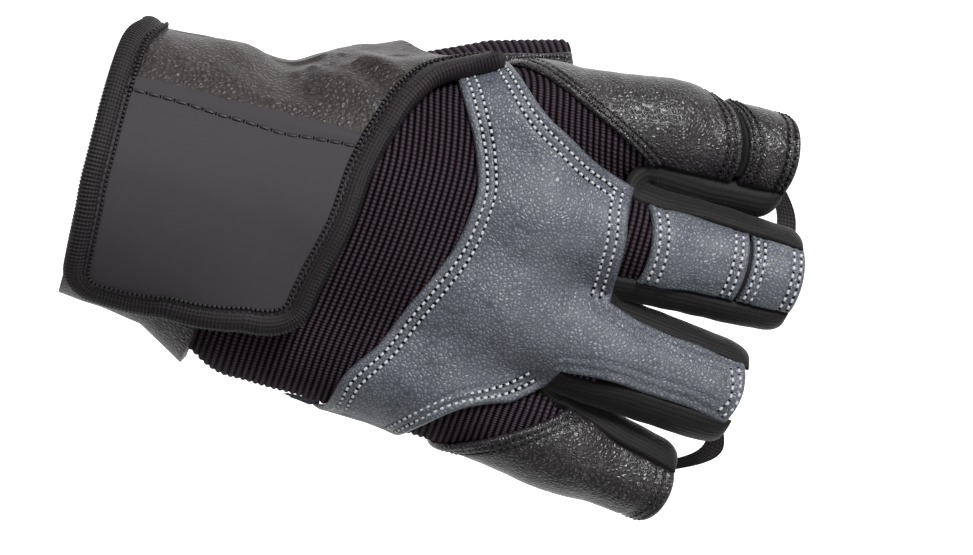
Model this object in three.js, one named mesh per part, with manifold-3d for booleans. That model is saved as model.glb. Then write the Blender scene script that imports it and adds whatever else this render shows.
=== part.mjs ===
// A right-hand weightlifting glove with open finger ends and a wrist wrap, in the form it has when worn.
// Millimetres. +X runs from the wrist to the fingertips, +Y points to the thumb side and +Z out of the back of the
// hand. The origin is the centre of the wrist opening. Every cloth or leather piece is a sheet with a wall: a grid
// of rays lands on the hand's form at the heights of the sheet's two faces.
import * as THREE from "three";
import { mergeVertices } from "three/addons/utils/BufferGeometryUtils.js";
import Module from "manifold-3d";

const wasm = await Module();
wasm.setup();

// Driving sizes of the hand that the glove is made for, and of the glove on it.
const gloveLength = 175;
const handBreadth = 92;
const handDepth = 28;
const fabricWall = 1.1;
const leatherWall = 1.2;
const palmWall = 2.4;
const gussetWall = 1.2;
const strapWall = 2.0;
const patchWall = 0.8;
const bindingWall = 0.9;
const bindingWidth = 5.8;
const loopWidth = 5;
const loopWall = 1.1;
const frontWall = 1.6;
const slitWidth = 1.6;
const endBow = 1.5;
const clearance = 0.3;
const lapClearance = 0.5;
const seamAngle = 48;
const seamGap = 3;
const fabricStart = 4;
const strapEndRadius = 12;
const wristCornerRadius = 8;
const wrapLead = 5;

// Heights above the hand's form at which each layer starts. The wrap reaches wrapLead behind the tables' zero, and
// the finished glove is moved forward by it so that the origin is in the plane of the wrist opening.
const lapBase = fabricWall + lapClearance;
const strapBase = Math.max(lapBase + leatherWall, palmWall) + clearance;
const flapBase = strapBase + strapWall + bindingWall + 2 * clearance;

// The rays of the hand, from the wrist to past each fingertip opening. Each row is one joint: x is a share of
// gloveLength, y of handBreadth, z and the radius r of handDepth.
const rays = {
  index: [
    { x: -0.171, y: 0.098, z: 0, r: 0.655 },
    { x: 0.229, y: 0.155, z: 0.036, r: 0.555 },
    { x: 0.577, y: 0.352, z: 0.071, r: 0.462 },
    { x: 0.754, y: 0.432, z: -0.036, r: 0.363 },
    { x: 0.96, y: 0.437, z: -0.214, r: 0.318 },
    { x: 1.086, y: 0.446, z: -0.357, r: 0.311 },
  ],
  middle: [
    { x: -0.171, y: 0.043, z: 0.036, r: 0.655 },
    { x: 0.229, y: 0.043, z: 0.107, r: 0.56 },
    { x: 0.606, y: 0.12, z: 0.143, r: 0.486 },
    { x: 0.777, y: 0.115, z: 0.054, r: 0.386 },
    { x: 1.0, y: 0.109, z: -0.179, r: 0.325 },
    { x: 1.126, y: 0.107, z: -0.321, r: 0.315 },
  ],
  ring: [
    { x: -0.171, y: -0.043, z: 0.036, r: 0.655 },
    { x: 0.229, y: -0.103, z: 0.089, r: 0.56 },
    { x: 0.577, y: -0.13, z: 0.107, r: 0.464 },
    { x: 0.743, y: -0.19, z: 0, r: 0.371 },
    { x: 0.949, y: -0.23, z: -0.232, r: 0.33 },
    { x: 1.074, y: -0.255, z: -0.393, r: 0.32 },
  ],
  pinky: [
    { x: -0.171, y: -0.098, z: 0, r: 0.655 },
    { x: 0.137, y: -0.187, z: -0.036, r: 0.63 },
    { x: 0.24, y: -0.318, z: -0.071, r: 0.585 },
    { x: 0.526, y: -0.375, z: -0.071, r: 0.457 },
    { x: 0.697, y: -0.457, z: -0.179, r: 0.35 },
    { x: 0.891, y: -0.53, z: -0.357, r: 0.268 },
    { x: 1.017, y: -0.576, z: -0.5, r: 0.257 },
  ],
  thumb: [
    { x: 0.057, y: 0.076, z: -0.143, r: 0.58 },
    { x: 0.194, y: 0.141, z: -0.321, r: 0.54 },
    { x: 0.377, y: 0.3, z: -0.643, r: 0.465 },
    { x: 0.503, y: 0.428, z: -0.875, r: 0.407 },
    { x: 0.611, y: 0.495, z: -0.964, r: 0.368 },
    { x: 0.743, y: 0.573, z: -1.05, r: 0.35 },
  ],
};

// How many joints of a ray belong to the palm, and where each finger's cover ends, as a share of gloveLength.
const fingers = {
  index: { palmJoints: 3, end: 0.947 },
  middle: { palmJoints: 3, end: 0.993 },
  ring: { palmJoints: 3, end: 0.952 },
  pinky: { palmJoints: 4, end: 0.885 },
};
const frontStart = 0.715;
const palmEnd = 0.74;
const slotEnd = 0.86;
const thumbRoot = 0.36;
const thumbEnd = 0.611;
const thumbFade = { from: 0.35, to: 0.49, lift: 1.4 };

// Smoothing widths where the hand's rays run together, as shares of handDepth.
const palmBlend = 0.43;
const webBlend = 0.32;
const fingerBlend = 0.21;
const thumbBlend = 0.36;

// The two lines that the hand's girth turns about, below the little finger's side and below the thumb's side.
// x is a share of gloveLength, the y values of handBreadth and the z values of handDepth.
const sideLines = [
  { x: -0.171, ulnarY: -0.12, ulnarZ: 0, radialY: 0.11, radialZ: 0 },
  { x: 0.137, ulnarY: -0.17, ulnarZ: -0.04, radialY: 0.14, radialZ: -0.1 },
  { x: 0.24, ulnarY: -0.25, ulnarZ: -0.07, radialY: 0.17, radialZ: -0.15 },
  { x: 0.377, ulnarY: -0.3, ulnarZ: -0.1, radialY: 0.23, radialZ: -0.22 },
  { x: 0.577, ulnarY: -0.37, ulnarZ: -0.1, radialY: 0.35, radialZ: -0.03 },
  { x: 0.8, ulnarY: -0.46, ulnarZ: -0.25, radialY: 0.42, radialZ: -0.1 },
];

// The three webs between the fingers, where the open gap starts.
const webs = [
  { name: "index_middle_gusset", near: "index", far: "middle", x: 0.767 },
  { name: "middle_ring_gusset", near: "middle", far: "ring", x: 0.767 },
  { name: "ring_pinky_gusset", near: "ring", far: "pinky", x: 0.712 },
];

// The two tape loops. In millimetres: how far before the finger ends they are sewn, how far past their feet they
// reach and how low they hang.
const pullLoops = [
  { near: "index", far: "middle", back: 7, reach: 4.5, drop: 2 },
  { near: "ring", far: "pinky", back: 7, reach: 9.5, drop: 2 },
];

const finishes = {
  rib: { color: 0x2a2229, roughness: 0.95, metalness: 0 },
  greyLeather: { color: 0x565d63, roughness: 0.55, metalness: 0 },
  blackLeather: { color: 0x201e1f, roughness: 0.5, metalness: 0 },
  gusset: { color: 0x17151a, roughness: 0.85, metalness: 0 },
  strap: { color: 0x35302f, roughness: 0.6, metalness: 0 },
  patch: { color: 0x3a3a3d, roughness: 0.45, metalness: 0 },
  tape: { color: 0x1f1c20, roughness: 0.8, metalness: 0 },
};

const glove = new THREE.Group();
const degrees = Math.PI / 180;
const mix = (a, b, t) => a + (b - a) * t;
const clamp = (t) => Math.min(1, Math.max(0, t));
const ease = (t) => clamp(t) ** 2 * (3 - 2 * clamp(t));
const steps = (a, b, count) => Array.from({ length: count + 1 }, (_, i) => mix(a, b, i / count));

// A ray's joints at their real size.
function realJoints(rows) {
  return rows.map((row) => ({
    p: new THREE.Vector3(row.x * gloveLength, row.y * handBreadth, row.z * handDepth),
    r: row.r * handDepth,
  }));
}
const joints = Object.fromEntries(Object.entries(rays).map(([name, rows]) => [name, realJoints(rows)]));

// Distance from a point to a round bar whose radius changes evenly from one joint to the next.
function barDistance(p, a, b) {
  const span = b.p.clone().sub(a.p);
  const t = clamp(p.clone().sub(a.p).dot(span) / span.lengthSq());
  return p.distanceTo(a.p.clone().addScaledVector(span, t)) - mix(a.r, b.r, t);
}

function chainDistance(p, chain) {
  return Math.min(...chain.slice(1).map((joint, i) => barDistance(p, chain[i], joint)));
}

// The smaller of two distances, rounded over the width k where they are alike.
function softMin(a, b, k) {
  const h = Math.max(k - Math.abs(a - b), 0) / k;
  return Math.min(a, b) - (h * h * k) / 4;
}

function palmDistance(p) {
  const parts = Object.keys(fingers).map((n) => chainDistance(p, joints[n].slice(0, fingers[n].palmJoints)));
  return parts.reduce((a, b) => softMin(a, b, palmBlend * handDepth));
}

// The palm with one finger on it.
function fingerForm(name) {
  const chain = joints[name].slice(fingers[name].palmJoints - 1);
  return (p) => softMin(palmDistance(p), chainDistance(p, chain), fingerBlend * handDepth);
}

// The whole hand. The thumb is lifted off it where the glove's thumb becomes a tube of its own.
function handForm(p, fade = thumbFade) {
  const x = p.x / gloveLength;
  const lifted = fade ? fade.lift * handDepth * ease((x - fade.from) / (fade.to - fade.from)) : 0;
  const reach = Object.keys(fingers)
    .map((n) => chainDistance(p, joints[n].slice(fingers[n].palmJoints - 1)))
    .reduce((a, b) => softMin(a, b, webBlend * handDepth));
  const palm = softMin(palmDistance(p), reach, fingerBlend * handDepth);
  return softMin(palm, chainDistance(p, joints.thumb) + lifted, thumbBlend * handDepth);
}
const wholeHandForm = (p) => handForm(p, null);
const thumbForm = (p) => chainDistance(p, joints.thumb);

// Follows a ray inwards to the point where the form's distance is the given height, or to the ray's foot where it
// passes between two fingers.
function land({ from, toward, reach }, form, height) {
  const p = from.clone();
  for (let i = 0, gone = 0; i < 80; i++) {
    const left = form(p) - height;
    if (left < 0.002) break;
    const step = Math.min(left * 0.85, reach - height - gone);
    p.addScaledVector(toward, step);
    gone += step;
  }
  return p;
}

// A value of the side lines' table at x, read evenly between its rows.
function sideLine(x) {
  const share = x / gloveLength;
  const last = sideLines.length - 2;
  const i = Math.min(last, Math.max(0, sideLines.findIndex((row) => row.x > share) - 1));
  const row = share > sideLines.at(-1).x ? last : i;
  const t = (share - sideLines[row].x) / (sideLines[row + 1].x - sideLines[row].x);
  const at = (key, size) => mix(sideLines[row][key], sideLines[row + 1][key], t) * size;
  return {
    ulnar: new THREE.Vector3(x, at("ulnarY", handBreadth), at("ulnarZ", handDepth)),
    radial: new THREE.Vector3(x, at("radialY", handBreadth), at("radialZ", handDepth)),
  };
}

// A ray onto the hand at x. Turn goes round the girth: -1 to 1 is the back, 1 to 3 the thumb's side, 3 to 5 the
// palm and 5 to 7 the little finger's side; each whole loop is 8.
function handRay(x, turn) {
  const { ulnar, radial } = sideLine(x);
  const t = ((((turn + 1) % 8) + 8) % 8) - 1;
  let foot;
  let angle;
  if (t <= 1) {
    foot = ulnar.clone().lerp(radial, (t + 1) / 2);
    angle = 0;
  } else if (t <= 3) {
    foot = radial;
    angle = (t - 1) * 90;
  } else if (t <= 5) {
    foot = radial.clone().lerp(ulnar, (t - 3) / 2);
    angle = 180;
  } else {
    foot = ulnar;
    angle = 180 + (t - 5) * 90;
  }
  const out = new THREE.Vector3(0, Math.sin(angle * degrees), Math.cos(angle * degrees));
  const reach = 2.2 * handDepth;
  return { from: foot.clone().addScaledVector(out, reach), toward: out.negate(), reach };
}

// The point on a ray's line at x, with its radius and direction.
function axisAt(name, x) {
  const chain = joints[name];
  const next = chain.findIndex((joint, i) => i > 0 && joint.p.x >= x);
  const i = next < 0 ? chain.length - 1 : next;
  const a = chain[i - 1];
  const b = chain[i];
  const t = (x - a.p.x) / (b.p.x - a.p.x);
  const along = b.p.clone().sub(a.p).normalize();
  return { p: a.p.clone().lerp(b.p, t), r: mix(a.r, b.r, t), along };
}

// A ray onto a finger at x. The angle is 0 on its back and grows towards the thumb's side.
function fingerRay(name, x, angle) {
  const { p, along } = axisAt(name, x);
  const side = new THREE.Vector3(0, 0, 1).cross(along).normalize();
  const up = along.clone().cross(side);
  const out = up.multiplyScalar(Math.cos(angle * degrees)).addScaledVector(side, Math.sin(angle * degrees));
  return { from: p.clone().addScaledVector(out, handDepth), toward: out.negate(), reach: handDepth };
}

// A closed body from its points and triangles, turned the right way out.
function body(points, triangles) {
  const vertProperties = new Float32Array(points.flatMap((p) => [p.x, p.y, p.z]));
  const make = (list) => new wasm.Manifold(new wasm.Mesh({ numProp: 3, vertProperties, triVerts: new Uint32Array(list) }));
  const made = make(triangles.flat());
  return made.volume() > 0 ? made : make(triangles.map(([a, b, c]) => [a, c, b]).flat());
}

// Joins two grids of points, an outer and an inner face, into one closed sheet. A round sheet closes on itself
// from its last column to its first. Cells that keep says no to are left open, with a wall round them.
function sheetOf(outer, inner, { round = false, keep = () => true } = {}) {
  const rows = outer.length;
  const columns = outer[0].length;
  const lastColumn = round ? columns : columns - 1;
  const at = (face, i, j) => (face * rows + i) * columns + (j % columns);
  const triangles = [];
  const quad = (a, b, c, d) => triangles.push([a, b, c], [a, c, d]);
  const wall = (i, j, k, l) => quad(at(0, i, j), at(1, i, j), at(1, k, l), at(0, k, l));
  const has = (i, j) => {
    const column = round ? (j + columns) % columns : j;
    return i >= 0 && i < rows - 1 && column >= 0 && column < lastColumn && keep(i, column);
  };
  for (let i = 0; i < rows - 1; i++)
    for (let j = 0; j < lastColumn; j++) {
      if (!has(i, j)) continue;
      quad(at(0, i, j), at(0, i, j + 1), at(0, i + 1, j + 1), at(0, i + 1, j));
      quad(at(1, i, j), at(1, i + 1, j), at(1, i + 1, j + 1), at(1, i, j + 1));
      if (!has(i - 1, j)) wall(i, j, i, j + 1);
      if (!has(i + 1, j)) wall(i + 1, j + 1, i + 1, j);
      if (!has(i, j - 1)) wall(i + 1, j, i, j);
      if (!has(i, j + 1)) wall(i, j + 1, i + 1, j + 1);
    }
  return body([...outer.flat(), ...inner.flat()], triangles);
}

// A sheet between two heights. Each height is a number or a function of the grid's row and column.
function sheet(grid, form, inner, outer, options) {
  const height = (value, i, j) => (typeof value === "function" ? value(i, j) : value);
  const face = (value) => grid.map((row, i) => row.map((ray, j) => land(ray, form, height(value, i, j))));
  return sheetOf(face(outer), face(inner), options);
}

// The solid inside a round grid of rays, closed by a flat fan at each end.
function core(grid, form, height) {
  const rings = grid.map((row) => row.map((ray) => land(ray, form, height)));
  const columns = rings[0].length;
  const middle = (ring) => ring.reduce((sum, p) => sum.add(p), new THREE.Vector3()).divideScalar(columns);
  const points = [...rings.flat(), middle(rings[0]), middle(rings.at(-1))];
  const at = (i, j) => i * columns + (j % columns);
  const triangles = [];
  for (let i = 0; i < rings.length - 1; i++)
    for (let j = 0; j < columns; j++)
      triangles.push([at(i, j), at(i, j + 1), at(i + 1, j + 1)], [at(i, j), at(i + 1, j + 1), at(i + 1, j)]);
  for (let j = 0; j < columns; j++) {
    triangles.push([points.length - 2, at(0, j + 1), at(0, j)]);
    triangles.push([points.length - 1, at(rings.length - 1, j), at(rings.length - 1, j + 1)]);
  }
  return body(points, triangles);
}

// A grid of rays: one row for each x, one column for each turn or angle.
const handGrid = (xs, turns) => xs.map((x) => turns.map((turn) => handRay(x, turn)));
const fingerGrid = (name, xs, angles) => xs.map((x) => angles.map((angle) => fingerRay(name, x, angle)));

// A closed three.js geometry as a solid.
function solidOf(geometry) {
  const bare = geometry.clone();
  bare.deleteAttribute("normal");
  bare.deleteAttribute("uv");
  const merged = mergeVertices(bare, 1e-4);
  const triVerts = new Uint32Array(merged.index.array);
  return new wasm.Manifold(new wasm.Mesh({ numProp: 3, vertProperties: merged.attributes.position.array, triVerts }));
}

// An upright cutter through the whole hand, with the outline of a shape seen from above.
function cutter(shape) {
  const reach = 4 * handDepth;
  const block = new THREE.ExtrudeGeometry(shape, { depth: reach, bevelEnabled: false, curveSegments: 8 });
  return solidOf(block.translate(0, 0, -reach / 2));
}

// An outline from above. Each stretch is a list of points that one smooth curve passes through, and stretches
// meet in corners. x is a share of gloveLength and y of handBreadth.
function outline(stretches) {
  const corners = stretches.flatMap((stretch) => {
    const curve = new THREE.CatmullRomCurve3(
      stretch.map(({ x, y }) => new THREE.Vector3(x * gloveLength, y * handBreadth, 0)),
      false,
      "centripetal",
    );
    const count = stretch.length - 1;
    return curve.getPoints(count).slice(0, -1);
  });
  return new THREE.Shape(corners.map((p) => new THREE.Vector2(p.x, p.y)));
}

// Adds a piece to the glove. Crumbs that a cut leaves beside it are dropped.
function add(name, solid, finish) {
  const [piece] = solid.decompose().sort((a, b) => b.volume() - a.volume());
  const mesh = piece.translate([wrapLead, 0, 0]).getMesh();
  const geometry = new THREE.BufferGeometry();
  geometry.setAttribute("position", new THREE.BufferAttribute(new Float32Array(mesh.vertProperties), 3));
  geometry.setIndex(new THREE.BufferAttribute(new Uint32Array(mesh.triVerts), 1));
  geometry.computeVertexNormals();
  const made = new THREE.Mesh(geometry, new THREE.MeshStandardMaterial(finishes[finish]));
  made.name = name;
  glove.add(made);
}

// The girth stations that all layers on the hand share, so that their facets stay parallel.
const backTurns = [-2.5, -2.2, -1.9, -1.6, -1.3, -1, -0.78, -0.56, -0.33, -0.11, 0.11, 0.33, 0.56, 0.78, 1];
const radialTurns = [1.33, 1.67, 2];
const palmTurns = [2.06, 2.35, 2.68, 3, 3.25, 3.5, 3.75, 4, 4.25, 4.5, 4.75, 5, 5.22, 5.44];

// Where a gusset's two seams are at x: halfway between them, half the way across and the way that they run.
function seamPair({ near, far }, seam, x) {
  const a = land(fingerRay(near, x, -seam), fingerForm(near), fabricWall);
  const b = land(fingerRay(far, x, seam), fingerForm(far), fabricWall);
  const across = new THREE.Vector2(a.x - b.x, a.y - b.y);
  return { centre: new THREE.Vector2((a.x + b.x) / 2, (a.y + b.y) / 2), half: across.length() / 2, across };
}

// The cut between two fingers, seen from above: round at the web and then along both seams.
function webSlot(web, seam) {
  const root = seamPair(web, seam, web.x * gloveLength);
  const tip = seamPair(web, seam, slotEnd * gloveLength);
  const corner = ({ centre, half, across }, side) =>
    across.clone().setLength(side * (half + lapClearance)).add(centre);
  const round = steps(0, 180, 10).map((angle) =>
    root.across.clone().setLength(root.half + lapClearance).rotateAround(new THREE.Vector2(), angle * degrees).add(root.centre),
  );
  return cutter(new THREE.Shape([...round, corner(tip, -1), corner(tip, 1)]));
}
const joined = (solids) => solids.reduce((a, b) => a.add(b));
const backSlots = joined(webs.map((web) => webSlot(web, seamAngle)));
const palmSlots = joined(webs.map((web) => webSlot(web, 180 - seamAngle)));

// A gusset: one stretch strip down the side of a finger, round the web and up the side of the next finger. A
// grown gusset is a cutter that clears it all round.
function gusset(web, grown = 0) {
  const x = web.x * gloveLength;
  const { half } = seamPair(web, seamAngle, x);
  const back = axisAt(web.near, x).along.add(axisAt(web.far, x).along).normalize().negate();
  const edge = seamAngle + seamGap - 5 * grown;
  const lean = steps(edge, 180 - edge, 5);
  const xs = (finger) => steps(x, fingers[finger].end * gloveLength - 1, 5);
  const side = (finger, sign, height) =>
    xs(finger).map((at) => lean.map((a) => land(fingerRay(finger, at, sign * a), fingerForm(finger), height)));
  const face = (height) => {
    const near = side(web.near, -1, height);
    const far = side(web.far, 1, height);
    const saddle = steps(0, 180, 5).slice(1, -1).map((turn) =>
      near[0].map((p, j) => {
        const middle = p.clone().lerp(far[0][j], 0.5);
        const arm = p.clone().sub(middle).multiplyScalar(Math.cos(turn * degrees));
        return middle.add(arm).addScaledVector(back, (half - height) * Math.sin(turn * degrees));
      }),
    );
    return [...near.reverse(), ...saddle, ...far];
  };
  return sheetOf(face(gussetWall + grown), face(-grown));
}
for (const web of webs) add(web.name, gusset(web), "gusset");
const gussetRoom = joined(webs.map((web) => gusset(web, lapClearance)));

// The thumb as a solid, at the height of its cover's outer face and a clearance, to cut its hole in the hand.
const thumbXs = steps(thumbRoot, thumbEnd, 6).map((x) => x * gloveLength);
const roundAngles = steps(0, 360, 20).slice(0, -1);
const thumbHoleXs = [thumbXs[0] - clearance, ...thumbXs.slice(1)];
const thumbHole = core(fingerGrid("thumb", thumbHoleXs, roundAngles), thumbForm, leatherWall + clearance);

// The hollow of the hand, shrunk a little, to trim the thumb's tube where it runs into it.
const girthTurns = [...backTurns.slice(2), ...radialTurns, 2.3, 2.6, 3, 3.25, 3.5, 3.75, 4, 4.25, 4.5, 4.75, 5, 5.25, 5.5, 5.75];
const hollowXs = steps(fabricStart, fingers.ring.end * gloveLength * 0.75, 14);
const handHollow = core(handGrid(hollowXs, girthTurns), handForm, -1);

// The ribbed back, from under the wrap to under the finger pieces.
const backEnd = 0.785 * gloveLength;
const backXs = steps(fabricStart, backEnd, 18);
const backGrid = handGrid(backXs, [...backTurns, ...radialTurns]);
const backOutline = outline([
  [{ x: -0.1, y: -0.8 }, { x: -0.1, y: 0.9 }],
  [{ x: -0.1, y: 0.9 }, { x: 0.68, y: 0.9 }],
  [{ x: 0.68, y: 0.9 }, { x: 0.77, y: 0.3 }],
  [{ x: 0.77, y: 0.3 }, { x: 0.79, y: 0.1 }],
  [{ x: 0.79, y: 0.1 }, { x: 0.77, y: -0.12 }],
  [{ x: 0.77, y: -0.12 }, { x: 0.74, y: -0.36 }],
  [{ x: 0.74, y: -0.36 }, { x: 0.6, y: -0.8 }],
  [{ x: 0.6, y: -0.8 }, { x: -0.1, y: -0.8 }],
]);
const backSheet = sheet(backGrid, handForm, 0, fabricWall).intersect(cutter(backOutline));
add("back_fabric", backSheet.subtract(backSlots).subtract(gussetRoom).subtract(thumbHole), "rib");

// The grey leather panel on the back. Its outline is cut from a layer over the ribbed back.
const panelOutline = outline([
  [
    { x: 0.435, y: 0.6 },
    { x: 0.441, y: 0.441 },
    { x: 0.47, y: 0.366 },
    { x: 0.508, y: 0.219 },
    { x: 0.518, y: 0.145 },
    { x: 0.516, y: 0.08 },
    { x: 0.509, y: 0 },
    { x: 0.487, y: -0.108 },
    { x: 0.459, y: -0.217 },
    { x: 0.432, y: -0.333 },
    { x: 0.4, y: -0.423 },
    { x: 0.357, y: -0.514 },
    { x: 0.33, y: -0.6 },
  ],
  [{ x: 0.33, y: -0.6 }, { x: 0.5, y: -0.64 }],
  [
    { x: 0.5, y: -0.64 },
    { x: 0.515, y: -0.528 },
    { x: 0.555, y: -0.473 },
    { x: 0.603, y: -0.425 },
    { x: 0.647, y: -0.379 },
    { x: 0.69, y: -0.345 },
  ],
  [{ x: 0.69, y: -0.345 }, { x: 0.76, y: -0.26 }],
  [{ x: 0.76, y: -0.26 }, { x: 0.76, y: -0.1 }],
  [{ x: 0.76, y: -0.1 }, { x: 0.74, y: -0.05 }],
  [
    { x: 0.74, y: -0.05 },
    { x: 0.742, y: 0.033 },
    { x: 0.742, y: 0.111 },
    { x: 0.737, y: 0.245 },
  ],
  [
    { x: 0.737, y: 0.245 },
    { x: 0.706, y: 0.274 },
    { x: 0.67, y: 0.301 },
    { x: 0.634, y: 0.34 },
    { x: 0.596, y: 0.381 },
    { x: 0.567, y: 0.426 },
    { x: 0.525, y: 0.5 },
    { x: 0.515, y: 0.6 },
  ],
  [{ x: 0.515, y: 0.6 }, { x: 0.435, y: 0.6 }],
]);
const lapGrid = handGrid(backXs.slice(6), [...backTurns.slice(1), 1.33]);
const panelOnBack = sheet(lapGrid, handForm, lapBase, lapBase + leatherWall);
const ringXs = steps(0.725, fingers.ring.end, 9).map((x) => x * gloveLength);
const settle = (x, from, over) => mix(lapBase, clearance, ease((x / gloveLength - from) / over));
const ringGrid = fingerGrid("ring", ringXs, steps(-seamAngle, seamAngle, 10));
const ringRise = (i) => settle(ringXs[i], 0.77, 0.06);
const ringSlice = (i) => 0.2 * (1 - ease((ringXs[i] / gloveLength - 0.745) / 0.005));
const ringSheet = sheet(
  ringGrid,
  fingerForm("ring"),
  (i) => ringRise(i) + ringSlice(i),
  (i) => ringRise(i) + leatherWall - ringSlice(i),
);
const panelSolid = panelOnBack.intersect(cutter(panelOutline));
const panelSlots = rootSlots("ring", backSlots).add(gussetRoom);
add("back_panel", panelSolid.add(ringSheet).subtract(panelSlots), "greyLeather");

// A piece on a finger, from where its start curve says to where its end curve says, over a span of angles. Grown
// pieces are cutters that clear the piece all round.
function fingerPiece({ finger, from, to, angles, base, wall, rows, columns }, grown = 0) {
  const spread = steps(angles[0] - 8 * grown, angles[1] + 8 * grown, columns);
  const shares = steps(0, 1, rows);
  const xAt = (i, j) => mix(from(spread[j]) - grown, to(spread[j]) + grown, shares[i]);
  const grid = shares.map((_, i) => spread.map((angle, j) => fingerRay(finger, xAt(i, j), angle)));
  const rise = (i, j) => base(xAt(i, j)) - 10 * grown;
  return sheet(grid, fingerForm(finger), rise, (i, j) => rise(i, j) + wall + 20 * grown);
}

// Where an edge lies along a finger. A bowed edge is furthest out at one angle and drawn back on both sides.
const straight = (x) => () => x * gloveLength;
const bowed = (x, bow, shift) => (angle) => x * gloveLength - bow * Math.min(1.6, Math.abs(angle - shift) / 60) ** 2;
const slanted = (x, otherX, angles) => (angle) =>
  gloveLength * mix(x, otherX, clamp((angle - angles[0]) / (angles[1] - angles[0])));
const endEdge = (finger) => bowed(fingers[finger].end, endBow, 0);

// The leather backs of the fingers. The two outer fingers' backs reach round to the palm side. The index and
// middle backs are parted from their end bands by a slit over a stretch strip.
const fingerBacks = [
  {
    name: "index",
    angles: [-seamAngle, 118],
    start: slanted(0.742, 0.545, [-seamAngle, 84]),
    lap: 0.77,
    rows: 8,
    columns: 13,
    slit: { x: 0.871, bow: 3, shift: -15 },
    finish: "blackLeather",
  },
  {
    name: "middle",
    angles: [-seamAngle, seamAngle],
    start: straight(0.757),
    lap: 0.79,
    rows: 5,
    columns: 10,
    slit: { x: 0.912, bow: 1.5, shift: 0 },
    finish: "greyLeather",
  },
  {
    name: "pinky",
    angles: [-134, seamAngle],
    start: slanted(0.55, 0.7, [-110, seamAngle]),
    lap: 0.74,
    rows: 9,
    columns: 14,
    finish: "blackLeather",
  },
];
const slitEdge = ({ x, bow, shift }, side) => {
  const edge = bowed(x, bow, shift);
  return (angle) => edge(angle) + (side * slitWidth) / 2;
};
const backPiece = (back) => ({
  ...back,
  finger: back.name,
  from: back.start,
  to: back.slit ? slitEdge(back.slit, -1) : endEdge(back.name),
  base: (x) => settle(x, back.lap, 0.06),
  wall: leatherWall,
});
for (const back of fingerBacks) {
  const made = fingerPiece(backPiece(back)).subtract(rootSlots(back.name, backSlots)).subtract(thumbHole);
  add(back.name + "_panel", made, back.finish);
  if (!back.slit) continue;
  const ends = { finger: back.name, angles: back.angles, wall: leatherWall, columns: back.columns };
  const past = slitEdge(back.slit, 1);
  const band = { ...ends, from: past, to: endEdge(back.name), base: () => clearance, rows: 3 };
  add(back.name + "_band", fingerPiece(band), back.finish);
  const strip = (side) => (angle) => past(angle) + side * 2.5 * slitWidth;
  const flex = { ...ends, from: strip(-1), to: strip(1), base: () => -fabricWall, wall: fabricWall, rows: 3 };
  add(back.name + "_flex", fingerPiece(flex), "gusset");
}

// The slots as far as they reach into a finger's root, without its own sides further out.
function rootSlots(finger, slots) {
  const own = webs.filter((web) => web.near === finger || web.far === finger);
  const rootEnd = Math.max(...own.map((web) => web.x)) * gloveLength;
  const box = new THREE.BoxGeometry(2 * rootEnd, 4 * handBreadth, 8 * handDepth);
  return slots.intersect(solidOf(box));
}

// The palm side of each finger, from under the knuckles to the finger's end.
const frontAngles = {
  index: [118 + seamGap, 180 + seamAngle],
  middle: [180 - seamAngle, 180 + seamAngle],
  ring: [180 - seamAngle, 180 + seamAngle],
  pinky: [180 - seamAngle, 226 - seamGap],
};
const fronts = Object.entries(frontAngles).map(([finger, angles]) => ({
  finger,
  angles,
  from: straight(frontStart),
  to: endEdge(finger),
  base: () => 0,
  wall: frontWall,
  rows: 7,
  columns: 8,
}));
for (const front of fronts) {
  const made = fingerPiece(front).subtract(rootSlots(front.finger, palmSlots));
  add(front.finger + "_front", made, "blackLeather");
}

// The palm, with room for the finger pieces that lie round its edges.
const palmXs = steps(fabricStart, palmEnd * gloveLength, 15);
const outerBacks = fingerBacks.filter((back) => back.name !== "middle").map(backPiece);
const palmEdge = joined([...outerBacks, ...fronts].map((piece) => fingerPiece(piece, clearance)));
const palmSheet = sheet(handGrid(palmXs, palmTurns), handForm, 0, palmWall);
const palmRoom = joined([palmSlots, gussetRoom, thumbHole, palmEdge]);
add("palm", palmSheet.subtract(palmRoom), "blackLeather");

// The thumb's tube: ribbed cloth on the side away from the hand, leather towards it.
function thumbPiece(angles, columns) {
  const grid = fingerGrid("thumb", thumbXs, steps(angles[0], angles[1], columns));
  return sheet(grid, thumbForm, 0, leatherWall).subtract(handHollow);
}
const thumbSeams = [46, 205];
add("thumb_back", thumbPiece(thumbSeams, 10), "rib");
add("thumb_front", thumbPiece([thumbSeams[1] + seamGap - 360, thumbSeams[0] - seamGap], 12), "blackLeather");

// The wrap's two edges as it winds once round the wrist and over its own start. Turn falls as it winds, from
// under the flap past the little finger's side, the palm and the thumb's side to the flap's end. The edges are
// shares of gloveLength.
const wrapEdges = [
  { turn: -0.5, from: -0.012, to: 0.2 },
  { turn: -1.2, from: -0.022, to: 0.185 },
  { turn: -2, from: -0.028, to: 0.17 },
  { turn: -3, from: -0.028, to: 0.19 },
  { turn: -4, from: -0.028, to: 0.24 },
  { turn: -5, from: -0.028, to: 0.29 },
  { turn: -5.6, from: -0.016, to: 0.35 },
  { turn: -6, from: -0.004, to: 0.41 },
  { turn: -6.2, from: -0.004, to: 0.47 },
  { turn: -6.4, from: -0.018, to: 0.51 },
  { turn: -6.5, from: -0.022, to: 0.475 },
  { turn: -6.6, from: -0.024, to: 0.435 },
  { turn: -6.75, from: -0.026, to: 0.408 },
  { turn: -7, from: -0.028, to: 0.382 },
  { turn: -7.3, from: -0.028, to: 0.368 },
  { turn: -8, from: -0.028, to: 0.356 },
  { turn: -8.6, from: -0.028, to: 0.336 },
  { turn: -9.57, from: -0.021, to: 0.315 },
];
const strapEnd = wrapEdges.at(-1).turn;
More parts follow.
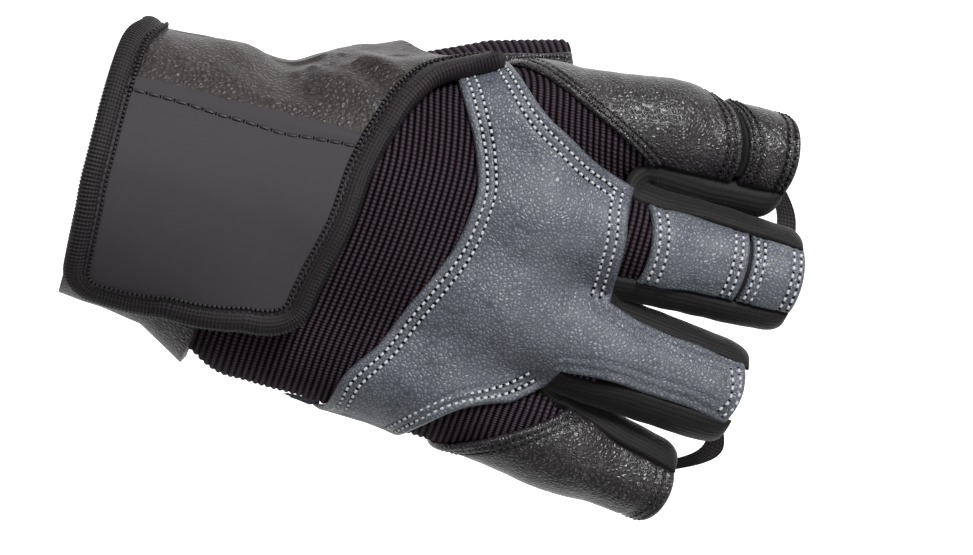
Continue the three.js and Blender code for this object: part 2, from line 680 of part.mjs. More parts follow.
const wrapTurns = [
  ...steps(-0.5, -3, 10),
  ...steps(-3, -5, 4).slice(1),
  ...steps(-5, -6, 6).slice(1),
  ...steps(-6, -6.8, 8).slice(1),
  ...steps(-6.9, -9, 8),
  ...steps(-9, strapEnd + 0.24, 2).slice(1),
  ...[0.18, 0.15, 0.06, 0].map((left) => strapEnd + left),
];
const wrapPatchStart = wrapTurns.indexOf(-6.9);
const wrapRise = { from: -6.2, to: -8.2 };

// A line across the wrap leans: it reaches the finger edge this much further on than it left the wrist edge.
const wrapLeans = [
  { turn: -6.2, lean: 0 },
  { turn: -6.9, lean: -0.3 },
  { turn: strapEnd, lean: 0.3 },
];

// A value of a table of turns, between the two rows that hold the turn.
function atTurn(rows, turn, key) {
  const i = rows.findIndex((row) => row.turn <= turn);
  if (i < 1) return i === 0 ? rows[0][key] : rows.at(-1)[key];
  const [a, b] = [rows[i - 1], rows[i]];
  return mix(a[key], b[key], (turn - a.turn) / (b.turn - a.turn));
}
function cornerInset(turn, radius) {
  const round = Math.max(0, radius - (turn - strapEnd) * 1.5 * handDepth);
  return radius - Math.sqrt(radius ** 2 - round ** 2 * 0.98);
}

// The wrap's rays at a turn, from the wrist edge to the finger edge.
function wrapRays(turn) {
  const lean = atTurn(wrapLeans, turn, "lean");
  const from = atTurn(wrapEdges, turn, "from") * gloveLength + cornerInset(turn, wristCornerRadius);
  const to = atTurn(wrapEdges, turn + lean, "to") * gloveLength - cornerInset(turn, strapEndRadius);
  const border = bindingWidth + clearance;
  const xs = [from, from + bindingWidth, ...steps(from + border, to - border, 3), to - bindingWidth, to];
  return xs.map((x) => handRay(x, turn + lean * ((x - from) / (to - from)) ** 2));
}
const wrapColumns = wrapTurns.map(wrapRays);
const wrapGrid = wrapColumns[0].map((_, i) => wrapColumns.map((rays) => rays[i]));
const wrapBase = (j) => mix(strapBase, flapBase, ease((wrapTurns[j] - wrapRise.from) / (wrapRise.to - wrapRise.from)));
const wrapLayer = (from, to, keep) =>
  sheet(wrapGrid, wholeHandForm, (i, j) => wrapBase(j) + from, (i, j) => wrapBase(j) + to, { keep });
const lastRow = wrapGrid.length - 2;
const lastTurn = wrapTurns.length - 2;
const endBorder = wrapTurns.length - 4;
const onBorder = (i, j) => i === 0 || i === lastRow || j >= endBorder;
add("wrist_strap", wrapLayer(0, strapWall), "strap");
const bindingStart = wrapTurns.indexOf(-5);
const bindingFace = strapWall + clearance;
add(
  "strap_binding",
  wrapLayer(bindingFace, bindingFace + bindingWall, (i, j) => j >= bindingStart && onBorder(i, j)),
  "tape",
);
const inPatch = (i, j) => i > 1 && i < lastRow - 1 && j >= wrapPatchStart && j < endBorder - 1 && j <= lastTurn;
add("strap_patch", wrapLayer(bindingFace, bindingFace + patchWall, inPatch), "patch");

// A loop of tape that joins two fingers' ends on the palm side. Its ends lie on the fingers' fronts.
function pullLoop({ near, far, back, reach, drop }) {
  const height = frontWall + 2 * clearance;
  const foot = (finger, x, lean) => land(fingerRay(finger, x, 180 + lean), fingerForm(finger), height);
  const farX = fingers[far].end * gloveLength - back;
  const nearX = fingers[near].end * gloveLength - back;
  const [start, end] = [foot(near, nearX, 20), foot(far, farX, -20)];
  const middle = start.clone().lerp(end, 0.5).add(new THREE.Vector3(reach, 0, -drop));
  const points = [foot(near, nearX - loopWidth, 0), start, middle, end, foot(far, farX - loopWidth, 0)];
  const path = new THREE.CatmullRomCurve3(points, false, "centripetal").getPoints(16);
  const across = axisAt(near, nearX).along.add(axisAt(far, farX).along).setLength(loopWidth);
  const below = new THREE.Vector3(0, 0, -loopWall);
  const row = (p, sink) => [p.clone().addScaledVector(below, sink), p.clone().addScaledVector(below, sink).add(across)];
  return sheetOf(path.map((p) => row(p, 1)), path.map((p) => row(p, 0)));
}
for (const loop of pullLoops) add(`${loop.near}_${loop.far}_loop`, pullLoop(loop), "tape");

export default glove;
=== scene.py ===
"""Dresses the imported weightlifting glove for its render.

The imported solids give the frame. Every leather, cloth and tape piece is made again here on the same form of the
hand, from the same named sizes, with its ribs, folds, rounded edges and stitches. All shapes are worked out in
millimetres with numpy and turned into metres when they become meshes.
"""

import logging
import math
from dataclasses import dataclass, field
from enum import Enum
from typing import Callable, Sequence

import bpy
import numpy as np
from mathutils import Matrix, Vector
from mathutils.kdtree import KDTree


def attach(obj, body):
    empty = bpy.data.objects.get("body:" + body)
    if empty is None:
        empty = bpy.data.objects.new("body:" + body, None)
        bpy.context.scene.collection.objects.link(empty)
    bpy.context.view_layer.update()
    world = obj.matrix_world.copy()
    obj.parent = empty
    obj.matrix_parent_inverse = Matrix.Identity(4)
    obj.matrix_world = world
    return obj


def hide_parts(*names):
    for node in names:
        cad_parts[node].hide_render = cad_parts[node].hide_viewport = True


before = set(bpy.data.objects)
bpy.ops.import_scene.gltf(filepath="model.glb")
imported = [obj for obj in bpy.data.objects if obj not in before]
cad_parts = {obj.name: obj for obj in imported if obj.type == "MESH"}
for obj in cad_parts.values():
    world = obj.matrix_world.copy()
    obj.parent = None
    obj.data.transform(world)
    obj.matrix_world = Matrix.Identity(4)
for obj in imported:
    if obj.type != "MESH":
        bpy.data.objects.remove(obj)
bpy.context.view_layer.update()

LOG = logging.getLogger("glove")
Array = np.ndarray
Form = Callable[[Array], Array]
Line = tuple[tuple[float, ...], ...]

# Driving sizes in millimetres, as in the part's source.
GLOVE_LENGTH = 175.0
HAND_BREADTH = 92.0
HAND_DEPTH = 28.0
WRAP_LEAD = 5.0
FABRIC_WALL = 1.1
LEATHER_WALL = 1.2
PALM_WALL = 2.4
FRONT_WALL = 1.6
STRAP_WALL = 2.0
CLEARANCE = 0.3
LAP_BASE = FABRIC_WALL + 0.5
STRAP_BASE = LAP_BASE + LEATHER_WALL + CLEARANCE
FLAP_BASE = STRAP_BASE + STRAP_WALL + 1.5
BINDING_WIDTH = 5.8
SEAM_ANGLE = 48.0
END_BOW = 1.5
RIB_PITCH = 1.62
RIB_DEPTH = 0.55
KNOT = 1.0
METRE = 0.001

# The rays of the hand. Columns: x as a share of the length, y of the breadth, z and the radius of the depth.
RAYS = {
    "index": (
        (-0.171, 0.098, 0.0, 0.655),
        (0.229, 0.155, 0.036, 0.555),
        (0.577, 0.352, 0.071, 0.462),
        (0.754, 0.432, -0.036, 0.363),
        (0.96, 0.437, -0.214, 0.318),
        (1.086, 0.446, -0.357, 0.311),
    ),
    "middle": (
        (-0.171, 0.043, 0.036, 0.655),
        (0.229, 0.043, 0.107, 0.56),
        (0.606, 0.12, 0.143, 0.486),
        (0.777, 0.115, 0.054, 0.386),
        (1.0, 0.109, -0.179, 0.325),
        (1.126, 0.107, -0.321, 0.315),
    ),
    "ring": (
        (-0.171, -0.043, 0.036, 0.655),
        (0.229, -0.103, 0.089, 0.56),
        (0.577, -0.13, 0.107, 0.464),
        (0.743, -0.19, 0.0, 0.371),
        (0.949, -0.23, -0.232, 0.33),
        (1.074, -0.255, -0.393, 0.32),
    ),
    "pinky": (
        (-0.171, -0.098, 0.0, 0.655),
        (0.137, -0.187, -0.036, 0.63),
        (0.24, -0.318, -0.071, 0.585),
        (0.526, -0.375, -0.071, 0.457),
        (0.697, -0.457, -0.179, 0.35),
        (0.891, -0.53, -0.357, 0.268),
        (1.017, -0.576, -0.5, 0.257),
    ),
    "thumb": (
        (0.057, 0.076, -0.143, 0.58),
        (0.194, 0.141, -0.321, 0.54),
        (0.377, 0.3, -0.643, 0.465),
        (0.503, 0.428, -0.875, 0.407),
        (0.611, 0.495, -0.964, 0.368),
        (0.743, 0.573, -1.05, 0.35),
    ),
}
PALM_JOINTS = {"index": 3, "middle": 3, "ring": 3, "pinky": 4}
FINGER_ENDS = {"index": 0.947, "middle": 0.993, "ring": 0.952, "pinky": 0.885}
FINGER_RADII = {"index": 12.0, "middle": 12.0, "ring": 12.0, "pinky": 10.5, "thumb": 13.0}
THUMB_ROOT = 0.36
THUMB_END = 0.611
THUMB_FADE = (0.35, 0.49, 1.4)
JOINT_EASE = 8.0
PALM_BLEND = 0.43
WEB_BLEND = 0.32
FINGER_BLEND = 0.21
THUMB_BLEND = 0.36

# The two lines that the hand's girth turns about. Columns: x, ulnar y, ulnar z, radial y, radial z.
SIDE_LINES = (
    (-0.171, -0.12, 0.0, 0.11, 0.0),
    (0.137, -0.17, -0.04, 0.14, -0.1),
    (0.24, -0.25, -0.07, 0.17, -0.15),
    (0.377, -0.3, -0.1, 0.23, -0.22),
    (0.577, -0.37, -0.1, 0.35, -0.03),
    (0.8, -0.46, -0.25, 0.42, -0.1),
)

# How far round the hand's side a millimetre of spread runs, and the hand's half-depth there, in millimetres.
ARC = 22.0
SILHOUETTE = 19.5

# How far past the others' seam angle a finger's leather reaches: the finger, the side of it and the degrees.
SEAM_SHIFTS = {("index", -1): 10.0, ("middle", 1): 9.0, ("ring", -1): -14.0, ("pinky", 1): -10.0}


def soft_min(a: Array, b: Array, width: float) -> Array:
    """Returns the smaller of two distances, rounded where they are alike.

    The formula is min(a, b) less h squared times a quarter of the width, where h falls from 1 at a = b to 0.

    Args:
        a: The first distances.
        b: The second distances.
        width: The distance over which the two run together.

    Returns:
        The blended distances.
    """
    h = np.maximum(width - np.abs(a - b), 0.0) / width
    return np.minimum(a, b) - h * h * width / 4


def ease(t: Array | float) -> Array | float:
    """Returns a smooth step, 3t squared less 2t cubed, from 0 to 1 as t goes from 0 to 1."""
    t = np.clip(t, 0.0, 1.0)
    return t * t * (3 - 2 * t)


def unit(v: Array) -> Array:
    """Returns vectors at length 1."""
    return v / np.maximum(np.linalg.norm(v, axis=-1, keepdims=True), 1e-9)


def bell(distance: Array, width: float) -> Array:
    """Returns a bell curve, 1 at distance 0 and 1/e at the width."""
    return np.exp(-((distance / width) ** 2))


def quarter_round(t: Array) -> Array:
    """Returns the height of a quarter circle, which rises steeply from 0 and levels out at t = 1."""
    return np.sqrt(1 - (1 - np.clip(t, 0.0, 1.0)) ** 2)


def lengths(points: Array) -> Array:
    """Returns how far along its line each point lies."""
    return np.concatenate([[0.0], np.cumsum(np.linalg.norm(np.diff(points, axis=0), axis=1))])


def at_places(places: Array, known: Array, values: Array) -> Array:
    """Returns columns of values, known at rising places, at other places."""
    return np.stack([np.interp(places, known, column) for column in values.T], axis=-1)


class Hand:
    """The form of the hand that the glove is worn on, as signed distances in millimetres."""

    def __init__(self) -> None:
        """Works out the joints of each ray at their real size."""
        rays = np.array([GLOVE_LENGTH, HAND_BREADTH, HAND_DEPTH, HAND_DEPTH])
        lines = np.array([GLOVE_LENGTH, HAND_BREADTH, HAND_DEPTH, HAND_BREADTH, HAND_DEPTH])
        self.joints = {name: np.array(rows) * rays for name, rows in RAYS.items()}
        self.sides = np.array(SIDE_LINES) * lines

    @staticmethod
    def bar(p: Array, a: Array, b: Array) -> Array:
        """Measures to a round bar from one joint to the next, whose radius changes evenly.

        Args:
            p: The points.
            a: The first joint: its place and its radius.
            b: The second joint.

        Returns:
            The distance of each point to the bar's nearest point on its line, less the radius there.
        """
        along = b[:3] - a[:3]
        out = p - a[:3]
        t = np.clip(out @ along / (along @ along), 0.0, 1.0)
        out = out - t[:, None] * along
        return np.sqrt(np.einsum("ij,ij->i", out, out)) - (a[3] + (b[3] - a[3]) * t)

    def chain(self, p: Array, name: str, first: int = 0, last: int | None = None) -> Array:
        """Returns distances to some of a ray's bars."""
        joints = self.joints[name][first:last]
        return np.minimum.reduce([self.bar(p, a, b) for a, b in zip(joints, joints[1:])])

    def palm(self, p: Array) -> Array:
        """Measures to the palm, where the first bars of the four rays run together.

        Args:
            p: The points.

        Returns:
            The distances.
        """
        parts = [self.chain(p, name, 0, count) for name, count in PALM_JOINTS.items()]
        total = parts[0]
        for part in parts[1:]:
            total = soft_min(total, part, PALM_BLEND * HAND_DEPTH)
        return total

    def finger(self, name: str) -> Form:
        """Returns the form of the palm with one finger on it."""
        first = PALM_JOINTS[name] - 1
        return lambda p: soft_min(self.palm(p), self.chain(p, name, first), FINGER_BLEND * HAND_DEPTH)

    def thumb(self, p: Array) -> Array:
        """Returns distances to the thumb."""
        return self.chain(p, "thumb")

    def whole(self, p: Array, lift: Array | float = 0.0) -> Array:
        """Measures to the whole hand.

        Args:
            p: The points.
            lift: How far the thumb is lifted off the hand.

        Returns:
            The distances.
        """
        parts = [self.chain(p, name, count - 1) for name, count in PALM_JOINTS.items()]
        reach = parts[0]
        for part in parts[1:]:
            reach = soft_min(reach, part, WEB_BLEND * HAND_DEPTH)
        palm = soft_min(self.palm(p), reach, FINGER_BLEND * HAND_DEPTH)
        return soft_min(palm, self.thumb(p) + lift, THUMB_BLEND * HAND_DEPTH)

    def back(self, p: Array) -> Array:
        """Returns distances to the hand where the glove's thumb is a tube of its own."""
        start, end, lift = THUMB_FADE
        return self.whole(p, lift * HAND_DEPTH * ease((p[:, 0] / GLOVE_LENGTH - start) / (end - start)))

    def axis(self, name: str, x: Array) -> tuple[Array, Array]:
        """Follows the middle line of a ray.

        Args:
            name: The ray.
            x: Places along the hand.

        Returns:
            The points and the directions of the ray's line there.
        """
        joints = self.joints[name]
        i = np.clip(np.searchsorted(joints[:, 0], x), 1, len(joints) - 1)
        a, b = joints[i - 1, :3], joints[i, :3]
        t = ((x - a[:, 0]) / (b[:, 0] - a[:, 0]))[:, None]
        return a + (b - a) * t, unit(b - a)


HAND = Hand()


@dataclass(frozen=True)
class Rays:
    """Straight lines that land on the hand's form from outside."""

    start: Array
    toward: Array
    reach: float


class Chart:
    """A flat map of one surface: two coordinates to a ray, and the form that it lands on."""

    def __init__(self, form: Form) -> None:
        """Keeps the form that the rays land on."""
        self.form = form

    def rays(self, a: Array, b: Array) -> Rays:
        """Returns the rays of flat lists of coordinates."""
        raise NotImplementedError

    def land(self, a: Array, b: Array, height: Array | float) -> Array:
        """Sends rays in until they are at given heights above the form.

        Each step goes almost as far as the distance that is left, which never passes the surface.

        Args:
            a: The first coordinates, in an array of any shape.
            b: The second coordinates, in the same shape.
            height: The height above the form, in millimetres.

        Returns:
            The points, with one more axis than the coordinates.
        """
        a, b = np.broadcast_arrays(np.asarray(a, float), np.asarray(b, float))
        height = np.broadcast_to(height, a.shape).ravel()
        rays = self.rays(a.ravel(), b.ravel())
        p = rays.start.copy()
        gone = np.zeros(len(p))
        active = np.arange(len(p))
        for _ in range(36):
            left = self.form(p[active]) - height[active]
            going = left > 0.004
            active, left = active[going], left[going]
            if not len(active):
                break
            step = np.minimum(left * 0.92, rays.reach - height[active] - gone[active])
            p[active] += rays.toward[active] * step[:, None]
            gone[active] += step
        return p.reshape(*a.shape, 3)

    def normals(self, points: Array) -> Array:
        """Finds the outward directions of the form from its distances on both sides of each point.

        Args:
            points: Points near the surface, in an array of any shape.

        Returns:
            The directions, in the same shape.
        """
        flat = points.reshape(-1, 3)
        slope = [self.form(flat + step) - self.form(flat - step) for step in np.eye(3) * 0.2]
        return unit(np.stack(slope, axis=-1)).reshape(points.shape)


class SideChart(Chart):
    """A map whose rays fan out from between two lines inside the hand, one towards each side of it."""

    @staticmethod
    def feet(x: Array, share: Array) -> Array:
        """Returns the points at x that lie at shares of the way from the ulnar line to the radial one."""
        sides = at_places(x, HAND.sides[:, 0], HAND.sides[:, 1:])
        ulnar, radial = (np.column_stack([x, sides[:, k : k + 2]]) for k in (0, 2))
        return ulnar + (radial - ulnar) * share[:, None]

    @staticmethod
    def fan(feet: Array, angle: Array) -> Rays:
        """Returns the rays that point at feet from angles off straight up, in radians."""
        out = np.stack([0 * angle, np.sin(angle), np.cos(angle)], axis=-1)
        reach = 2.2 * HAND_DEPTH
        return Rays(feet + out * reach, -out, reach)


class GirthChart(SideChart):
    """A map round the hand: x and the turn, where a whole loop is 8.

    Turn -1 to 1 is the back, 1 to 3 the thumb's side, 3 to 5 the palm and 5 to 7 the little finger's side.
    """

    def rays(self, a: Array, b: Array) -> Rays:
        """Sends rays in all round the hand.

        Args:
            a: Places along the hand.
            b: Turns.

        Returns:
            The rays.
        """
        t = (b + 1) % 8 - 1
        regions = [t <= 1, t <= 3, t <= 5]
        share = np.select(regions, [(t + 1) / 2, np.ones_like(t), (5 - t) / 2], 0.0)
        degrees = np.select(regions, [0 * t, (t - 1) * 90, 180 + 0 * t], 180 + (t - 5) * 90)
        return self.fan(self.feet(a, share), np.radians(degrees))


class BackChart(SideChart):
    """A map of the back: x and a spread y, which is y on top and runs on round both sides of the hand."""

    def rays(self, a: Array, b: Array) -> Rays:
        """Returns rays onto the back at x and spread y."""
        ulnar, radial = self.side_lines(a)
        return self.fan(self.feet(a, np.clip((b - ulnar) / (radial - ulnar), 0.0, 1.0)), self.angle(a, b))

    @staticmethod
    def side_lines(x: Array) -> tuple[Array, Array]:
        """Returns y of the ulnar line and of the radial line at x."""
        return tuple(np.interp(x, HAND.sides[:, 0], HAND.sides[:, k]) for k in (1, 3))

    @staticmethod
    def angle(x: Array, spread: Array) -> Array:
        """Returns how far round a side places lie, in radians: below 0 past the ulnar line."""
        ulnar, radial = BackChart.side_lines(x)
        return (np.minimum(spread - ulnar, 0.0) + np.maximum(spread - radial, 0.0)) / ARC

    @staticmethod
    def spread(x: Array, y: Array) -> Array:
        """Turns places seen from above into the map's coordinates.

        Args:
            x: Places along the hand.
            y: Places across it, as seen from above.

        Returns:
            The spread y, where the sides are unrolled as arcs of a circle.
        """
        ulnar, radial = BackChart.side_lines(x)
        low = np.arcsin(np.clip((ulnar - y) / SILHOUETTE, 0.0, 1.0)) * ARC
        high = np.arcsin(np.clip((y - radial) / SILHOUETTE, 0.0, 1.0)) * ARC
        return np.clip(y, ulnar, radial) - low + high


class FingerChart(Chart):
    """A map of one finger: x and the angle round it, 0 on its back and growing towards the thumb's side."""

    def __init__(self, name: str) -> None:
        """Chooses the finger.

        Args:
            name: The finger's name in the tables of rays.
        """
        super().__init__(HAND.thumb if name == "thumb" else HAND.finger(name))
        self.name = name

    def rays(self, a: Array, b: Array) -> Rays:
        """Sends rays in square to the finger's line, whose joints are eased.

        Args:
            a: Places along the hand.
            b: Angles round the finger, in degrees.

        Returns:
            The rays.
        """
        middle = HAND.axis(self.name, a)[0]
        along = unit(HAND.axis(self.name, a + JOINT_EASE)[0] - HAND.axis(self.name, a - JOINT_EASE)[0])
        side = unit(np.cross([0.0, 0.0, 1.0], along))
        up = np.cross(along, side)
        angle = np.radians(b)[:, None]
        out = up * np.cos(angle) + side * np.sin(angle)
        return Rays(middle + out * HAND_DEPTH, -out, HAND_DEPTH)


BACK = BackChart(HAND.back)
GIRTH = GirthChart(HAND.back)
WRAP = GirthChart(HAND.whole)
FINGERS = {name: FingerChart(name) for name in RAYS}


class Look(Enum):
    """The finishes of the glove, each the name of a material slot in the record."""

    RIB = "rib"
    GREY = "grey_leather"
    BLACK = "black_leather"
    GUSSET = "gusset"
    STRAP = "strap_leather"
    PATCH = "patch"
    TAPE = "tape"
    LIGHT_THREAD = "light_thread"
    DARK_THREAD = "dark_thread"
    # Painted shade of the needle holes.
    HOLE_SHADE = "hole"


# The record's slots of the finishes that aren't slots themselves.
MATERIALS: dict[Look, bpy.types.Material] = {}


@dataclass
class Grid:
    """A grid of points on the form, with what each layer over it needs to know."""

    points: Array
    normals: Array
    keep: Array
    edge: Array
    turned: bool


def open_sides(keep: Array) -> Array:
    """Lists the sides of kept cells that no kept cell shares.

    Args:
        keep: Which cells of a grid are kept.

    Returns:
        One row for each side: its two vertices, in the order that keeps the cell on the left.
    """
    rows, columns = keep.shape
    padded = np.pad(keep, 1)
    index = np.arange((rows + 1) * (columns + 1)).reshape(rows + 1, columns + 1)
    sides = []
    for (di, dj), first, second in (
        ((-1, 0), (0, 1), (0, 0)),
        ((1, 0), (1, 0), (1, 1)),
        ((0, -1), (0, 0), (1, 0)),
        ((0, 1), (1, 1), (0, 1)),
    ):
        i, j = np.nonzero(keep & ~padded[1 + di : rows + 1 + di, 1 + dj : columns + 1 + dj])
        sides.append(np.stack([index[i + first[0], j + first[1]], index[i + second[0], j + second[1]]], axis=1))
    return np.concatenate(sides)


def edge_distance(points: Array, keep: Array) -> Array:
    """Measures how far each point of a grid is from the grid's nearest open edge.

    Args:
        points: The grid's points.
        keep: Which of its cells are kept.

    Returns:
        The distances in millimetres, measured to four marks on each open side.
    """
    flat = points.reshape(-1, 3)
    ends = flat[open_sides(keep)]
    marks = np.concatenate([ends[:, 0] + (ends[:, 1] - ends[:, 0]) * t for t in (0.0, 0.25, 0.5, 0.75)])
    tree = KDTree(len(marks))
    for i, mark in enumerate(marks.tolist()):
        tree.insert(mark, i)
    tree.balance()
    return np.array([tree.find(p)[2] for p in flat.tolist()]).reshape(points.shape[:2])


def facing_grid(points: Array, outward: Array, keep: Array | None = None) -> Grid:
    """Works out the directions and edges of a grid of points.

    Args:
        points: The points, in rows and columns.
        outward: A direction on the outer side at the grid's middle.
        keep: Which cells are kept, or nothing for all.

    Returns:
        The grid, whose directions are the cross product of its rows and columns, on the outer side.
    """
    normals = unit(np.cross(np.gradient(points, axis=0), np.gradient(points, axis=1)))
    turned = bool(np.dot(outward, normals[middle_of(points)]) < 0)
    if keep is None:
        keep = np.ones((points.shape[0] - 1, points.shape[1] - 1), dtype=bool)
    return Grid(points, -normals if turned else normals, keep, edge_distance(points, keep), turned)


def middle_of(points: Array) -> tuple[int, int]:
    """Returns the row and column at the middle of a grid."""
    return points.shape[0] // 2, points.shape[1] // 2


def lay(
    chart: Chart, a: Array, b: Array, base: Array | float, keep: Callable[[Array], Array] | None = None
) -> Grid:
    """Lays a grid of a chart's coordinates on the form.

    Args:
        chart: The map that the coordinates belong to.
        a: The first coordinates, one row and column for each point.
        b: The second coordinates, which may be one row for all.
        base: The height of the layer's underside above the form.
        keep: A function that says which cells of the points are kept, or nothing for all.

    Returns:
        The grid.
    """
    points = chart.land(a, b, base)
    outward = chart.normals(points[middle_of(points)][None])[0]
    return facing_grid(points, outward, keep(points) if keep else None)


# The CAD node that each made piece stands for.
STANDS_FOR = {
    "back_fabric_ribs": "back_fabric",
    "back_panel_leather": "back_panel",
    "index_leather": "index_panel",
    "index_end_leather": "index_band",
    "index_slit_stretch": "index_flex",
    "middle_leather": "middle_panel",
    "middle_end_leather": "middle_band",
    "middle_slit_stretch": "middle_flex",
    "pinky_leather": "pinky_panel",
    "index_palm_leather": "index_front",
    "middle_palm_leather": "middle_front",
    "ring_palm_leather": "ring_front",
    "pinky_palm_leather": "pinky_front",
    "palm_leather": "palm",
    "index_middle_roll": "index_middle_gusset",
    "middle_ring_roll": "middle_ring_gusset",
    "ring_pinky_roll": "ring_pinky_gusset",
    "thumb_ribs": "thumb_back",
    "thumb_leather": "thumb_front",
    "wrap_leather": "wrist_strap",
    "wrap_binding": "strap_binding",
    "wrap_patch": "strap_patch",
    "index_middle_tape": "index_middle_loop",
    "ring_pinky_tape": "ring_pinky_loop",
}
SHARP_ANGLE = 50.0


def make_mesh(name: str, vertices: Array, faces: Array, look: Look, weave: Array | None = None) -> None:
    """Makes one piece of the glove from arrays, and reports it.

    Args:
        name: The piece's name.
        vertices: Points in millimetres.
        faces: Quads as rows of four vertices.
        look: The finish.
        weave: Two coordinates for each vertex, kept in a UV map for the ribs and weaves.
    """
    used = np.unique(faces)
    renumber = np.full(len(vertices), -1)
    renumber[used] = np.arange(len(used))
    faces = renumber[faces]
    at = (vertices[used] + [WRAP_LEAD, 0.0, 0.0]) * METRE
    mesh = bpy.data.meshes.new(name)
    mesh.vertices.add(len(at))
    mesh.vertices.foreach_set("co", at.astype(np.float32).ravel())
    mesh.loops.add(faces.size)
    mesh.loops.foreach_set("vertex_index", faces.astype(np.int32).ravel())
    mesh.polygons.add(len(faces))
    mesh.polygons.foreach_set("loop_start", np.arange(0, faces.size, 4, dtype=np.int32))
    if weave is not None:
        layer = mesh.uv_layers.new(name="weave")
        layer.data.foreach_set("uv", weave[used][faces.ravel()].astype(np.float32).ravel())
    mesh.update(calc_edges=True)
    mesh.validate()
    mesh.shade_smooth()
    mesh.set_sharp_from_angle(angle=math.radians(SHARP_ANGLE))
    mesh.materials.append(MATERIALS[look])
    piece = bpy.data.objects.new(name, mesh)
    bpy.context.collection.objects.link(piece)
    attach(piece, "root")
    if name in STANDS_FOR:
        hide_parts(STANDS_FOR[name])
    LOG.info("%s: %d faces", name, len(faces))


def make_sheet(
    name: str,
    grid: Grid,
    look: Look,
    top: Array | float,
    bottom: float = 0.0,
    weave: tuple[Array, Array] | None = None,
) -> None:
    """Closes a grid into a sheet with a wall, and makes it a piece.

    Args:
        name: The piece's name.
        grid: The grid that the sheet follows.
        look: The finish.
        top: How far the outer face stands off the grid.
        bottom: How far the inner face stands off the grid.
        weave: The weave's two coordinates over the grid.
    """
    shape = grid.points.shape[:2]
    faces_off = [grid.points + grid.normals * np.broadcast_to(lift, shape)[..., None] for lift in (top, bottom)]
    vertices = np.concatenate(faces_off).reshape(-1, 3)
    below = shape[0] * shape[1]
    index = np.arange(below).reshape(shape)
    i, j = np.nonzero(grid.keep)
    cells = np.stack([index[i, j], index[i + 1, j], index[i + 1, j + 1], index[i, j + 1]], axis=1)
    sides = open_sides(grid.keep)
    walls = np.stack([sides[:, 1], sides[:, 0], sides[:, 0] + below, sides[:, 1] + below], axis=1)
    faces = np.concatenate([cells, cells[:, ::-1] + below, walls])
    flat = None
    if weave is not None:
        flat = np.tile(np.stack(np.broadcast_arrays(*weave), axis=-1).reshape(-1, 2), (2, 1))
    make_mesh(name, vertices, faces[:, ::-1] if grid.turned else faces, look, flat)


def hem(edge: Array, wall: float, rows: Sequence[float] = (), radius: float = 1.1) -> Array:
    """Shapes a leather face with a turned edge and sewn rows.

    The edge is a quarter circle. Each row is a bell-shaped groove, and the leather swells between the first row
    and the edge.

    Args:
        edge: Distances from the edge.
        wall: The leather's thickness.
        rows: Distances from the edge at which a row of stitches pulls the leather in.
        radius: The radius of the turned edge.

    Returns:
        The height at each point.
    """
    height = wall * (0.12 + 0.88 * quarter_round(edge / radius))
    for row in rows:
        height = height - 0.3 * bell(edge - row, GROOVE)
    if rows:
        height = height + 0.16 * bell(edge - rows[0] / 2, 0.9)
    return height


def wobble(points: Array, size: float, seed: int, waves: int = 7) -> Array:
    """Gives a smooth random field, a sum of sines that run in random directions.

    Args:
        points: Where to work it out.
        size: How far apart its bumps are, in millimetres.
        seed: Chooses the directions and phases.
        waves: How many sines are summed.

    Returns:
        Values between about -1 and 1.
    """
    rng = np.random.default_rng(seed)
    turns = unit(rng.normal(size=(waves, 3))) * (2 * math.pi / size) * rng.uniform(0.6, 1.3, (waves, 1))
    phase = rng.uniform(0, 2 * math.pi, waves)
    return np.sin(points @ turns.T + phase).sum(axis=-1) / math.sqrt(waves) * 0.8


RIM_ROWS = (0.0, 0.2, 0.45, 0.8, 1.25)
GROOVE = 0.6
STITCH_ROWS = (2.5, 4.7)
THINNEST = 0.12


def rimmed(width: Array | Sequence[float], count: int) -> Array:
    """Spaces rows over a width, close together near both rims.

    Args:
        width: The width of each column, in millimetres.
        count: How many rows lie between the rims.

    Returns:
        The distance of each row from the start, one column for each width.
    """
    rim = np.array(RIM_ROWS)[:, None]
    share = np.linspace(0.0, 1.0, count + 2)[1:-1, None]
    width = np.asarray(width, float)[None, :]
    inner = rim[-1] + (width - 2 * rim[-1]) * share
    return np.concatenate([rim + 0 * width, inner, width - rim[::-1]])


def rimmed_shares(width: float, count: int) -> Array:
    """Returns shares of one width, close together near both of its ends."""
    return rimmed([width], count)[:, 0] / width


